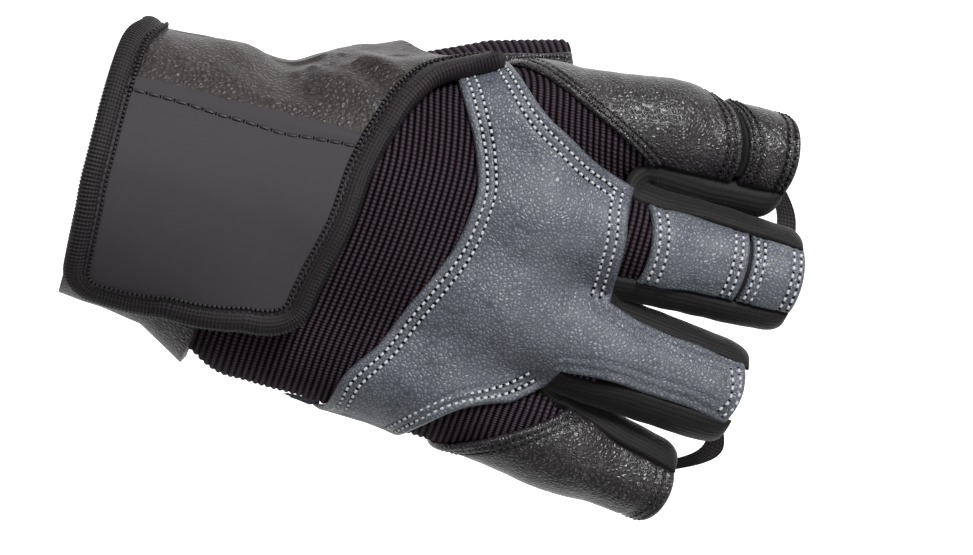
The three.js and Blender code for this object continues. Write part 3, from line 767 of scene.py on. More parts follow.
@dataclass
class Thread:
    """Rows of stitches that become one piece."""

    name: str
    look: Look
    length: float = 1.15
    gap: float = 0.7
    radius: float = 0.3
    rise: float = 0.12
    vertices: list[Array] = field(default_factory=list)
    faces: list[Array] = field(default_factory=list)
    count: int = 0

    def sew(self, points: Array, normals: Array) -> None:
        """Adds stitches along a line on a surface, and between each two a near-black rod whose colour is painted shade
        standing for a needle hole.

        Args:
            points: The line's points, in millimetres.
            normals: The surface's outward directions there.
        """
        along = lengths(points)
        number = max(1, int(along[-1] / (self.length + self.gap)))
        pitch = along[-1] / number
        line = (along, points, normals)
        self.add(line, (np.arange(number) + 0.5) * pitch, self.length, self.radius, self.rise)
        # Painted shade: near-black rods where the needle holes lie.
        HOLE_SHADES.add(line, np.arange(number + 1) * pitch, self.gap * 0.8, self.radius * 1.15, -self.rise)

    def sew_on(self, chart: Chart, a: Array | float, b: Array | float, height: Array | float) -> None:
        """Sews a row along a line of a chart's coordinates at a height above the form."""
        a, b = np.broadcast_arrays(np.asarray(a, float), np.asarray(b, float))
        points = chart.land(a, b, height)
        self.sew(points, chart.normals(points))

    def add(
        self, line: tuple[Array, Array, Array], middles: Array, length: float, radius: float, rise: float
    ) -> None:
        """Adds small rounded rods at places along a line.

        A rod is five rings of six points along its length, the first and last of them smaller and lower.

        Args:
            line: Distances along the line, its points and the surface's directions there.
            middles: Where each rod's middle lies along the line.
            length: The rods' length.
            radius: The rods' radius.
            rise: How far the rods' middles stand off the surface.
        """
        along, points, normals = line
        share = np.array([-0.5, -0.36, 0.0, 0.36, 0.5])
        lift = np.array([-0.4, 0.0, 0.1, 0.0, -0.4]) * radius / 0.3 + rise
        girth = np.array([0.5, 1.0, 1.08, 1.0, 0.5]) * radius
        at = middles[:, None] + share * length
        middle = at_places(at, along, points)
        up = unit(at_places(at, along, normals))
        run = unit(np.broadcast_to((middle[:, -1] - middle[:, 0])[:, None], middle.shape))
        side = unit(np.cross(run, up))
        middle = middle + up * lift[:, None]
        turn = np.arange(6) / 6 * 2 * math.pi
        ring = side[:, :, None] * np.cos(turn)[:, None] * 1.1 + up[:, :, None] * np.sin(turn)[:, None] * 0.8
        vertices = (middle[:, :, None] + ring * girth[:, None, None]).reshape(-1, 3)
        index = np.arange(len(vertices)).reshape(len(middles), len(share), 6) + self.count
        after = np.roll(index, -1, axis=2)
        quads = np.stack([index[:, :-1], after[:, :-1], after[:, 1:], index[:, 1:]], axis=-1).reshape(-1, 4)
        caps = [index[:, 0, [5, 4, 3, 2]], index[:, 0, [5, 2, 1, 0]]]
        caps += [index[:, -1, [0, 1, 2, 3]], index[:, -1, [0, 3, 4, 5]]]
        self.vertices.append(vertices)
        self.faces += [quads, *caps]
        self.count += len(vertices)

    def make(self) -> None:
        """Makes the piece from all its stitches."""
        make_mesh(self.name, np.concatenate(self.vertices), np.concatenate(self.faces), self.look)


# Near-black rods at the needle holes: painted shade that stands for the holes' depth.
HOLE_SHADES = Thread("needle_hole_shades", Look.HOLE_SHADE)
GREY_THREAD = Thread("grey_stitches", Look.LIGHT_THREAD)
DARK_THREAD = Thread("dark_stitches", Look.DARK_THREAD)
STRAP_THREAD = Thread("strap_stitches", Look.DARK_THREAD, length=2.9, gap=0.6, radius=0.4)
BRAID_THREAD = Thread("binding_braid", Look.DARK_THREAD, length=0.95, gap=0.25, radius=0.42)
THREADS = {Look.GREY: GREY_THREAD, Look.BLACK: DARK_THREAD}


def spline(rows: Sequence[Sequence[float]], count: int | Array) -> Array:
    """Runs a smooth curve through rows of coordinates.

    Between two rows it is a cubic with the rows' own slopes at its ends, which come from their neighbours.

    Args:
        rows: The points that it passes through.
        count: How many points to return, or their places as shares of its length.

    Returns:
        The points along the curve.
    """
    rows = np.asarray(rows, float)
    knots = lengths(rows)
    knots /= knots[-1]
    at = np.linspace(0.0, 1.0, count) if np.isscalar(count) else np.asarray(count)
    slopes = np.gradient(rows, knots, axis=0)
    i = np.clip(np.searchsorted(knots, at, side="right") - 1, 0, len(rows) - 2)
    width = (knots[i + 1] - knots[i])[:, None]
    t = (at - knots[i])[:, None] / width
    first = rows[i] * (1 + 2 * t) * (1 - t) ** 2 + slopes[i] * width * t * (1 - t) ** 2
    second = rows[i + 1] * t * t * (3 - 2 * t) + slopes[i + 1] * width * t * t * (t - 1)
    return first + second


def at_size(rows: Sequence[Sequence[float]]) -> Array:
    """Returns rows of x and y shares as x and spread y in millimetres."""
    x, y = (np.asarray(rows) * [GLOVE_LENGTH, HAND_BREADTH]).T
    return np.stack([x, BackChart.spread(x, y)], axis=-1)


def settle(x: Array, start: float) -> Array:
    """Returns a finger leather's height: over the ribbed back until start, and down on the finger past it."""
    return LAP_BASE + (CLEARANCE - LAP_BASE) * ease((x / GLOVE_LENGTH - start) / 0.06)


def ribs(phase: Array, depth: float = RIB_DEPTH) -> Array:
    """Returns the fall from the crest of rounded ribs at a phase counted in ribs."""
    return depth * (1 - np.abs(np.sin(math.pi * phase)) ** 0.8)


def within(outline: Array, x: Array, y: Array) -> Array:
    """Says which points lie inside a closed outline, by counting the sides that a line from each one crosses.

    Args:
        outline: The outline's corners.
        x: The points' first coordinates.
        y: The points' second coordinates.

    Returns:
        True for each point inside.
    """
    inside = np.zeros(x.shape, dtype=bool)
    for (ax, ay), (bx, by) in zip(outline, np.roll(outline, -1, axis=0)):
        crosses = (ay > y) != (by > y)
        inside ^= crosses & (x < (bx - ax) * (y - ay) / (by - ay + 1e-12) + ax)
    return inside


def centres(points: Array) -> Array:
    """Returns the middle of each cell of a grid."""
    return (points[:-1, :-1] + points[1:, :-1] + points[:-1, 1:] + points[1:, 1:]) / 4


def clear_of(outlines: Sequence[Array], points: Array) -> Array:
    """Finds the cells of a grid that no cut takes away.

    Args:
        outlines: The outlines of the cuts, seen from above.
        points: The grid's points.

    Returns:
        True for each cell outside the cuts and outside the thumb's tube.
    """
    middle = centres(points)
    keep = np.ones(middle.shape[:2], dtype=bool)
    for outline in outlines:
        keep &= ~within(outline, middle[..., 0], middle[..., 1])
    thumb = HAND.thumb(middle.reshape(-1, 3)).reshape(keep.shape)
    return keep & ~((thumb < LEATHER_WALL + CLEARANCE) & (middle[..., 0] > THUMB_ROOT * GLOVE_LENGTH))


def bowed(share: float, bow: float, shift: float, angle: Array) -> Array:
    """Returns x of a line across a finger that bows towards the fingertip."""
    return share * GLOVE_LENGTH - bow * np.minimum(1.6, np.abs((angle - shift) / 60)) ** 2


def angles_round(finger: str, low: float, high: float, count: int) -> Array:
    """Returns angles round a finger, close together near both sides."""
    return low + rimmed_shares(math.radians(high - low) * FINGER_RADII[finger], count) * (high - low)


@dataclass(frozen=True)
class Web:
    """The web between two fingers: where it lies, and the cuts that it needs in the back and in the palm."""

    near: str
    far: str
    share: float
    tip: float = 0.86

    def walls(self, angle: float, wall: float) -> tuple[Array, ...]:
        """Finds where the two fingers' seams lie, seen from above.

        Args:
            angle: The seams' angle from the fingers' backs.
            wall: The height of the seams above the fingers.

        Returns:
            The near and the far finger's place at the web, and the same at the tips.
        """
        places = [share * GLOVE_LENGTH for share in (self.share, self.tip)]
        sides = ((self.near, -angle), (self.far, angle))
        return tuple(FINGERS[name].land([x], [turn], wall)[0, :2] for x in places for name, turn in sides)

    def back_cut(self) -> Array:
        """Returns the outline of the cut in the ribbed back, whose end is a half circle."""
        near, far, near_tip, far_tip = self.walls(SEAM_ANGLE, FABRIC_WALL)
        arm = (near - far) / 2
        turn = np.linspace(0.0, math.pi, 16)[:, None]
        back = np.array([-arm[1], arm[0]])
        reach = 1 + 0.5 / np.linalg.norm(arm)
        round_end = (near + far) / 2 + (arm * np.cos(turn) + back * np.sin(turn)) * reach
        tip, tip_arm = (near_tip + far_tip) / 2, (near_tip - far_tip) / 2 * reach
        return np.concatenate([round_end, [tip - tip_arm, tip + tip_arm]])

    def palm_cut(self) -> Array:
        """Returns the outline of the cut in the palm's leather, whose end is pointed."""
        near, far, near_tip, far_tip = self.walls(180.0 - SEAM_ANGLE, FRONT_WALL)
        return np.array([near, near_tip, far_tip, far, (near + far) / 2 - [1.5, 0.0]])


WEBS = (Web("index", "middle", 0.767), Web("middle", "ring", 0.767), Web("ring", "pinky", 0.712))


def seam_shift(finger: str, side: int, x: Array) -> Array:
    """Returns how many degrees past the seam angle one side of a finger's leather lies at x."""
    web = next((web.share for web in WEBS if finger == (web.near if side < 0 else web.far)), 0.0)
    return SEAM_SHIFTS.get((finger, side), 0.0) * ease((x - web * GLOVE_LENGTH) / 14.0)


# The outline of the grey panel, seen from above, in shares of length and breadth.
PANEL_WRIST_EDGE = (
    (0.425, 0.56),
    (0.441, 0.441),
    (0.47, 0.366),
    (0.508, 0.219),
    (0.518, 0.145),
    (0.516, 0.08),
    (0.509, 0.0),
    (0.487, -0.108),
    (0.459, -0.217),
    (0.432, -0.333),
    (0.4, -0.423),
    (0.357, -0.514),
    (0.318, -0.575),
)
PANEL_INDEX_EDGE = (
    (0.513, 0.58),
    (0.527, 0.5),
    (0.567, 0.426),
    (0.596, 0.381),
    (0.634, 0.34),
    (0.67, 0.301),
    (0.706, 0.274),
    (0.735, 0.25),
)
PANEL_MIDDLE_EDGE = ((0.735, 0.25), (0.735, 0.2), (0.742, 0.111), (0.742, 0.033), (0.74, -0.066))
PANEL_RING_ROOT = ((0.74, -0.066), (0.725, -0.17), (0.697, -0.272))
PANEL_PINKY_EDGE = (
    (0.697, -0.272),
    (0.68, -0.32),
    (0.647, -0.379),
    (0.603, -0.425),
    (0.555, -0.473),
    (0.515, -0.528),
    (0.49, -0.575),
)
RING_UPPER_SEAM = ((0.74, -0.066), (0.785, -0.095), (0.851, -0.117), (0.918, -0.13), (0.949, -0.137))
RING_LOWER_SEAM = (
    (0.697, -0.272),
    (0.728, -0.268),
    (0.76, -0.266),
    (0.81, -0.273),
    (0.874, -0.281),
    (0.942, -0.304),
)
RING_END = ((0.949, -0.137), (0.958, -0.18), (0.958, -0.262), (0.942, -0.304))

# One rib of the back's cloth, seen from above, in shares of length and breadth.
RIB_LINE = (
    (0.42, 0.56),
    (0.434, 0.454),
    (0.445, 0.365),
    (0.454, 0.286),
    (0.461, 0.177),
    (0.459, 0.064),
    (0.453, -0.051),
    (0.442, -0.183),
    (0.43, -0.328),
    (0.421, -0.486),
    (0.418, -0.56),
)


@dataclass(frozen=True)
class BackFabric:
    """The ribbed cloth on the back of the hand, from under the wrap to under the fingers' leathers.

    Spreads, ribs and the start are in millimetres or ribs. Both sides are degrees round the hand's side. The ends
    are spreads, with how far along the hand the cloth runs there.
    """

    spreads: tuple[float, float] = (-92.0, 74.0)
    columns: int = 150
    phases: tuple[float, float, float] = (-58.0, 60.0, 0.22)
    start: float = 4.0
    sides: tuple[float, float] = (136.0, 91.0)
    ends: Line = ((-90.0, 0.66), (-33.0, 0.74), (-11.0, 0.77), (9.0, 0.79), (28.0, 0.77), (80.0, 0.68))
    wave: float = 14.0

    def coordinates(self) -> tuple[Array, Array, Array, Array]:
        """Lays out rows that follow the ribs.

        Returns:
            x and the spread of each point, the rib's phase of each row, and which points the cloth covers.
        """
        line = spline(at_size(RIB_LINE), 80)[::-1]
        spread = np.linspace(*self.spreads, self.columns)
        phase = np.arange(*self.phases)[:, None]
        a = np.interp(spread, line[:, 1], line[:, 0]) + phase * RIB_PITCH
        b = np.broadcast_to(spread, a.shape)
        end = np.interp(b, *np.array(self.ends).T) * GLOVE_LENGTH
        ulnar, radial = np.radians(self.sides)
        angle = BackChart.angle(a, b)
        inside = (a > self.start) & (a < end) & (angle > -ulnar) & (angle < radial)
        rows = np.nonzero(inside.any(axis=1))[0]
        part = slice(rows[0], rows[-1] + 1)
        return a[part], b[part], phase[part], inside[part]

    def build(self) -> None:
        """Makes the cloth as one sheet, cut out for the webs and the thumb."""
        a, b, phase, inside = self.coordinates()
        cuts = [web.back_cut() for web in WEBS]
        grid = lay(BACK, a, b, 0.0, lambda points: inside[:-1, :-1] & inside[1:, 1:] & clear_of(cuts, points))
        top = FABRIC_WALL + 0.15 - ribs(phase) + THINNEST * wobble(grid.points, self.wave, 3)
        make_sheet("back_fabric_ribs", grid, Look.RIB, np.maximum(top, 0.3), weave=(phase, b / KNOT))


@dataclass(frozen=True)
class BackPanel:
    """The grey leather panel on the back of the hand, with the ring finger's back in one piece.

    The widths are about those of the ring finger's leather. The counts are rows and columns between the rims.
    """

    lap: float = 0.77
    ring_width: float = 24.0
    ring_length: float = 40.0
    ring_counts: tuple[int, int] = (48, 28)
    index_columns: int = 66
    middle_columns: int = 34
    pinky_columns: int = 52
    rows: int = 78
    waves: tuple[float, float] = (26.0, 9.0)
    tip_rows: tuple[float, float] = (1.5, 3.4)

    def ring_points(self, columns: Array) -> Array:
        """Lays out the ring finger's leather between its two seams, with a bowed end.

        Args:
            columns: Shares of the way from the upper seam to the lower one.

        Returns:
            x and spread of each point, in rows along the finger.
        """
        count = 100
        along = rimmed_shares(self.ring_length, self.ring_counts[0])[5:]
        along = (along - along[0] + 0.02) / (1.0 - along[0] + 0.02)
        places = np.interp(along, np.linspace(0.0, 1.0, count), np.arange(count))
        seams = [spline(at_size(rows), count) for rows in (RING_UPPER_SEAM, RING_LOWER_SEAM)]
        upper, lower = (at_places(places, np.arange(count), seam)[:, None] for seam in seams)
        ring = upper + (lower - upper) * columns[None, :, None]
        ring[..., 0] += (1 - (2 * columns - 1) ** 2) * (END_BOW + 0.6) * ease(along[:, None])
        return ring

    def coordinates(self) -> tuple[Array, Array, Array]:
        """Lays out the rows of the back first, and the ring finger's rows after them.

        Returns:
            x and the spread of each point, and which cells the panel covers.
        """
        columns = rimmed_shares(self.ring_width, self.ring_counts[1])
        pieces = [
            spline(at_size(PANEL_INDEX_EDGE), self.index_columns)[:-1],
            spline(at_size(PANEL_MIDDLE_EDGE), self.middle_columns)[:-1],
            spline(at_size(PANEL_RING_ROOT), columns),
            spline(at_size(PANEL_PINKY_EDGE), self.pinky_columns)[1:],
        ]
        finger_side = np.concatenate(pieces)
        wrist_side = spline(at_size(PANEL_WRIST_EDGE), np.linspace(0.0, 1.0, len(finger_side)))
        width = np.linalg.norm(finger_side - wrist_side, axis=1)
        main = wrist_side + (rimmed(width, self.rows) / width)[..., None] * (finger_side - wrist_side)
        first = len(pieces[0]) + len(pieces[1])
        last = first + len(columns)
        ring = self.ring_points(columns)
        blank = np.repeat(finger_side[None], len(ring), axis=0)
        blank[:, first:last] = ring
        both = np.concatenate([main, blank])
        keep = np.ones((both.shape[0] - 1, both.shape[1] - 1), dtype=bool)
        keep[len(main) - 1 :, :first] = False
        keep[len(main) - 1 :, last - 1 :] = False
        return both[..., 0], both[..., 1], keep

    def build(self) -> None:
        """Makes the leather and sews its edges."""
        a, b, keep = self.coordinates()
        grid = lay(BACK, a, b, settle(a, self.lap), lambda points: keep)
        top = hem(grid.edge, LEATHER_WALL + 0.15, STITCH_ROWS)
        top = top + 0.18 * wobble(grid.points, self.waves[0], 11) + 0.1 * wobble(grid.points, self.waves[1], 12)
        make_sheet("back_panel_leather", grid, Look.GREY, np.maximum(top, THINNEST))
        for edge, side, start, end in (
            (PANEL_WRIST_EDGE, 1, 0.03, 0.87),
            (PANEL_INDEX_EDGE, -1, 0.04, 0.95),
            (PANEL_PINKY_EDGE, -1, 0.12, 0.9),
            (PANEL_MIDDLE_EDGE, -1, 0.04, 0.97),
            (RING_END, -1, 0.03, 0.97),
        ):
            self.sew_edge(spline(at_size(edge), np.linspace(start, end, 160)), side, edge is RING_END)

    def sew_edge(self, line: Array, side: int, tip: bool) -> None:
        """Sews both rows along one edge.

        Args:
            line: The edge's coordinates.
            side: 1 where the leather lies on the left of the edge's run, and -1 where it lies on the right.
            tip: Whether it is the ring finger's end, whose rows lie closer to it.
        """
        run = unit(np.gradient(line, axis=0))
        left = np.stack([-run[:, 1], run[:, 0]], axis=-1) * side
        for inset in self.tip_rows if tip else STITCH_ROWS:
            a, b = (line + left * inset).T
            GREY_THREAD.sew_on(BACK, a, b, settle(a, self.lap) + LEATHER_WALL - 0.08)


@dataclass(frozen=True)
class FingerLeather:
    """The leather on a finger's back: its sides, its two ends and the stretch slit across it.

    The sides are degrees from the middle of the finger's back. The start is the wrist end's line, as degrees and
    shares of the length. The slit has its share of the length, its bow, the angle of its middle and its width.
    """

    finger: str
    look: Look
    seed: int
    sides: tuple[float, float]
    lap: float
    counts: tuple[int, int]
    start: Line
    start_rows: tuple[float, float] = STITCH_ROWS
    slit: tuple[float, float, float, float] | None = None
    near_rows: tuple[float, float] = (2.0, 3.9)
    end_rows: tuple[float, float] = (1.3, 3.1)
    margin: float = 1.6
    strip_reach: float = 3.6

    def turned(self, x: Array, angle: Array) -> Array:
        """Moves the sides of the leather to the rolls' seams.

        Args:
            x: Places along the hand.
            angle: Angles between the leather's two sides.

        Returns:
            The real angles, which differ most at the sides.
        """
        low, high = self.sides
        share = (angle - low) / (high - low)
        down = seam_shift(self.finger, -1, x) * (1 - share) ** 2 if low == -SEAM_ANGLE else 0.0
        up = seam_shift(self.finger, 1, x) * share**2 if high == SEAM_ANGLE else 0.0
        return angle - down + up

    def start_line(self, angle: Array) -> Array:
        """Returns x of the wrist end at angles, on a cubic near the points that are given."""
        at, share = np.array(self.start).T
        return np.polyval(np.polyfit(at / 90, share, 3), np.asarray(angle) / 90) * GLOVE_LENGTH

    def end_line(self, angle: Array) -> Array:
        """Returns x of the fingertip end at angles."""
        return bowed(FINGER_ENDS[self.finger], END_BOW, 0.0, angle)

    def slit_line(self, angle: Array, side: float) -> Array:
        """Returns x of the slit at angles: its middle, or its edge on side -1 or 1."""
        share, bow, shift, width = self.slit
        return bowed(share, bow, shift, angle) + side * width / 2

    def base(self, x: Array) -> Array:
        """Returns the leather's height above the finger."""
        return settle(x, self.lap)

    @staticmethod
    def on_finger(x: Array) -> Array:
        """Returns the height of leather that lies on the finger alone."""
        return 0 * x + CLEARANCE

    def cut(self, name: str, lines: tuple[Form, Form], base: Form, rows: Sequence[float], end: bool = False) -> None:
        """Makes one leather between two lines across the finger.

        Args:
            name: The piece's name.
            lines: Functions that give x of the wrist end and of the fingertip end at angles.
            base: A function that gives the height of the underside at x.
            rows: Distances from the ends of the rows that pull the leather in.
            end: Whether it is the short band at the finger's end.
        """
        seed = self.seed + 10 * end
        b = angles_round(self.finger, *self.sides, self.counts[1])
        start, stop = (line(b) for line in lines)
        a = start + rimmed(stop - start, 26 if end else self.counts[0])
        grid = lay(FINGERS[self.finger], a, self.turned(a, b), base(a))
        top = hem(grid.edge, LEATHER_WALL + 0.2)
        for row in rows:
            top = top - 0.32 * bell(np.minimum(a - start, stop - a) - row, GROOVE)
        creases = 0.16 * wobble(grid.points * [1.0, 0.45, 0.45], 11.0, seed)
        creases = creases + 0.08 * wobble(grid.points, 6.0, seed + 1)
        top = top + creases * np.clip(grid.edge / 2, 0, 1)
        make_sheet(name, grid, self.look, np.maximum(top, THINNEST))

    def sew_across(self, x: Form, height: Form) -> None:
        """Sews a row of stitches across the finger.

        Args:
            x: A function that gives the row's x at angles.
            height: A function that gives the leather's height at x.
        """
        low, high = self.sides
        margin = math.degrees(self.margin / FINGER_RADII[self.finger])
        b = np.linspace(low + margin, high - margin, 90)
        a = x(b)
        THREADS[self.look].sew_on(FINGERS[self.finger], a, self.turned(a, b), height(a) + LEATHER_WALL - 0.06)

    def build(self) -> None:
        """Makes the leather in one piece, or in two with the stretch strip between them."""
        name = f"{self.finger}_leather"
        if self.slit is None:
            self.cut(name, (self.start_line, self.end_line), self.base, STITCH_ROWS)
            return
        near, far = (lambda b: self.slit_line(b, -1)), (lambda b: self.slit_line(b, 1))
        self.cut(name, (self.start_line, near), self.base, self.near_rows)
        self.cut(f"{self.finger}_end_leather", (far, self.end_line), self.on_finger, self.end_rows, end=True)
        for before, after in zip(self.near_rows, self.end_rows):
            self.sew_across(lambda b: near(b) - before, self.base)
            self.sew_across(lambda b: far(b) + after, self.on_finger)
        self.build_strip()

    def build_strip(self) -> None:
        """Makes the stretch strip under the slit, which swells up into it."""
        b = angles_round(self.finger, self.sides[0] + 2, self.sides[1] - 2, 46)
        middle = self.slit_line(b, 0)
        a = middle + np.linspace(-self.strip_reach, self.strip_reach, 25)[:, None]
        grid = lay(FINGERS[self.finger], a, b, -0.4)
        make_sheet(f"{self.finger}_slit_stretch", grid, Look.GUSSET, 0.5 + 0.7 * bell(a - middle, 0.9), -0.4)

    def sew_ends(self) -> None:
        """Sews the rows along the fingertip end and along the wrist end."""
        for inset in self.end_rows:
            self.sew_across(lambda b: self.end_line(b) - inset, self.base)
        for inset in self.start_rows:
            self.sew_across(lambda b: self.start_line(b) + inset, self.base)


FINGER_LEATHERS = (
    FingerLeather(
        finger="index",
        look=Look.BLACK,
        seed=31,
        sides=(-48.0, 118.0),
        lap=0.77,
        counts=(84, 62),
        start=((-48.0, 0.735), (-20.0, 0.702), (11.0, 0.661), (46.0, 0.597), (80.0, 0.554), (118.0, 0.535)),
        slit=(0.871, 3.0, -15.0, 1.5),
    ),
    FingerLeather(
        finger="middle",
        look=Look.GREY,
        seed=32,
        sides=(-48.0, 48.0),
        lap=0.79,
        counts=(46, 40),
        start=((-48.0, 0.766), (-20.0, 0.77), (0.0, 0.77), (20.0, 0.765), (48.0, 0.754)),
        start_rows=(1.8, 3.9),
        slit=(0.912, 1.5, 0.0, 0.7),
    ),
    FingerLeather(
        finger="pinky",
        look=Look.BLACK,
        seed=33,
        sides=(-134.0, 48.0),
        lap=0.74,
        counts=(86, 62),
        start=((-134.0, 0.55), (-110.0, 0.552), (-70.0, 0.585), (-20.0, 0.64), (20.0, 0.682), (48.0, 0.702)),
    ),
)


@dataclass(frozen=True)
class FingerFront:
    """The leather on a finger's palm side, between two angles in degrees."""

    finger: str
    sides: tuple[float, float]
    seed: int
    start: float = 0.715
    counts: tuple[int, int] = (64, 40)
    row: float = 2.2

    def build(self) -> None:
        """Makes the leather and sews its end."""
        b = angles_round(self.finger, *self.sides, self.counts[1])
        start = np.full_like(b, self.start * GLOVE_LENGTH)
        end = bowed(FINGER_ENDS[self.finger], END_BOW, 180.0, b)
        a = start + rimmed(end - start, self.counts[0])
        grid = lay(FINGERS[self.finger], a, b, 0.0)
        top = hem(grid.edge, FRONT_WALL + 0.1) - 0.3 * bell(end - a - self.row, GROOVE)
        top = top + 0.2 * wobble(grid.points * [1.0, 0.3, 0.3], 10.0, self.seed) * np.clip(grid.edge / 2, 0, 1)
        make_sheet(f"{self.finger}_palm_leather", grid, Look.BLACK, np.maximum(top, THINNEST))
        angles = np.linspace(self.sides[0] + 6, self.sides[1] - 6, 60)
        x = bowed(FINGER_ENDS[self.finger], END_BOW, 180.0, angles) - self.row
        DARK_THREAD.sew_on(FINGERS[self.finger], x, angles, FRONT_WALL - 0.1)


FINGER_FRONTS = (
    FingerFront("index", (116.0, 233.0), 61),
    FingerFront("middle", (127.0, 233.0), 62),
    FingerFront("ring", (127.0, 233.0), 63),
    FingerFront("pinky", (127.0, 228.0), 64),
)


@dataclass(frozen=True)
class Pad:
    """A padded patch of the palm: its middle as x and turn, half its length, and half its width in turns."""

    x: float
    turn: float
    length: float
    turns: float

    def relief(self, x: Array, turn: Array) -> Array:
        """Shapes the pad as a rounded oblong, whose fourth-power sum is 1 on its edge, with a sewn groove.

        Args:
            x: Places along the hand, as shares of its length.
            turn: Turns.

        Returns:
            How much higher the palm's leather is there.
        """
        shape = ((x - self.x) / self.length) ** 4 + ((turn - self.turn) / self.turns) ** 4
        distance = (shape**0.25 - 1) * 12
        return 1.2 * ease(-distance / 3) - 0.35 * bell(distance, 0.7)

    def sew(self) -> None:
        """Sews a row of stitches round the pad."""
        ring = np.linspace(0, 2 * math.pi, 200)
        c, s = np.cos(ring), np.sin(ring)
        reach = 1.04 / (c**4 + s**4) ** 0.25
        x = (self.x + c * reach * self.length) * GLOVE_LENGTH
        DARK_THREAD.sew_on(GIRTH, x, self.turn + s * reach * self.turns, PALM_WALL - 0.25)


@dataclass(frozen=True)
class Palm:
    """The palm's padded leather. The front edge is turns, with how far along the hand the leather runs there."""

    turns: tuple[float, float] = (2.06, 5.44)
    start: float = 4.0
    girth: float = 110.0
    counts: tuple[int, int] = (170, 190)
    front: Line = ((2.06, 0.6), (2.3, 0.655), (2.6, 0.7), (2.9, 0.725), (3.2, 0.74), (5.44, 0.74))
    pads: tuple[Pad, ...] = (Pad(0.6, 4.0, 0.075, 1.05), Pad(0.34, 4.65, 0.12, 0.5))

    def build(self) -> None:
        """Makes the leather, with its pads, creases and edge, and sews the pads."""
        low, high = self.turns
        turn = low + rimmed_shares(self.girth, self.counts[1]) * (high - low)
        start = np.full_like(turn, self.start)
        end = np.interp(turn, *np.array(self.front).T) * GLOVE_LENGTH
        a = start + rimmed(end - start, self.counts[0])
        cuts = [web.palm_cut() for web in WEBS]
        grid = lay(GIRTH, a, turn, 0.0, lambda points: clear_of(cuts, points))
        top = hem(grid.edge, PALM_WALL, radius=1.6)
        top = top + 0.22 * wobble(grid.points, 24.0, 71) + 0.1 * wobble(grid.points, 8.0, 72)
        for pad in self.pads:
            top = top + pad.relief(a / GLOVE_LENGTH, turn)
        make_sheet("palm_leather", grid, Look.BLACK, np.maximum(top, 0.15))
        for pad in self.pads:
            pad.sew()


@dataclass(frozen=True)
class WebRoll:
    """The soft roll between two fingers, which bulges where it is pressed together.

    The bulges are on the near finger, round the web and on the far finger, in millimetres.
    """

    web: Web
    bulges: tuple[float, float, float]
    seed: int
    width: float = 16.0
    base: float = 0.75
    far_angle: float = 129.0
    round_end: float = 6.0

    def wall(self, finger: str, side: int, across: Array) -> Array:
        """Follows one finger from the web to its end.

        Args:
            finger: The finger.
            side: -1 where the roll lies on the near finger and 1 where it lies on the far one.
            across: Shares of the roll's width.

        Returns:
            The points of the roll's foot, in rows along the finger.
        """
        web = self.web.share * GLOVE_LENGTH
        reach = FINGER_ENDS[finger] * GLOVE_LENGTH - 1.0 - web
        a = web + rimmed([2 * reach], 87)[43:, 0, None] - reach + 0 * across
        first = SEAM_ANGLE + 2 + seam_shift(finger, side, a)
        return FINGERS[finger].land(a, side * (first + (self.far_angle - first) * across), self.base)

    @staticmethod
    def saddle(near: Array, far: Array) -> Array:
        """Joins both walls' feet by half circles round the web.

        Args:
            near: The points on the near finger at the web.
            far: The points on the far finger.

        Returns:
            The points in rows from the near finger to the far one.
        """
        arm = (near - far) / 2
        turn = np.linspace(0.0, math.pi, 17)[:, None, None]
        reach = np.linalg.norm(arm[:, :2], axis=1)[None, :, None]
        back = np.array([-1.0, 0.0, 0.0]) * np.maximum(reach - 0.4, 0.3)
        return (near + far) / 2 + arm * np.cos(turn) + back * np.sin(turn)

    def build(self) -> None:
        """Makes the roll, whose height is the root of a sine across it and a quarter circle at its ends."""
        across = rimmed_shares(self.width, 30)
        near, far = self.wall(self.web.near, -1, across), self.wall(self.web.far, 1, across)
        points = np.concatenate([near[:0:-1], self.saddle(near[0], far[0]), far[1:]])
        grid = facing_grid(points, np.array([1.0, 0.0, 0.0]))
        count = len(points)
        places = np.array([0.0, 0.4, 0.5, 0.6, 1.0]) * count
        on_near, round_web, on_far = self.bulges
        swell = np.interp(np.arange(count), places, (on_near, on_near, round_web, on_far, on_far))
        along = lengths(points[:, 15])
        ends = quarter_round(np.minimum(along, along[-1] - along) / self.round_end)
        bulge = swell[:, None] * np.sqrt(np.clip(np.sin(math.pi * across), 0, 1)) * ends[:, None]
        top = 0.25 + bulge + 0.12 * wobble(points, 7.0, self.seed)
        weave = (np.arange(count)[:, None] * 1.3, across * self.width)
        make_sheet(f"{self.web.near}_{self.web.far}_roll", grid, Look.GUSSET, top, -0.3, weave)


WEB_ROLLS = (
    WebRoll(WEBS[0], (6.0, 3.6, 3.2), 81),
    WebRoll(WEBS[1], (3.0, 3.6, 2.9), 82),
    WebRoll(WEBS[2], (3.0, 3.2, 3.2), 83),
)


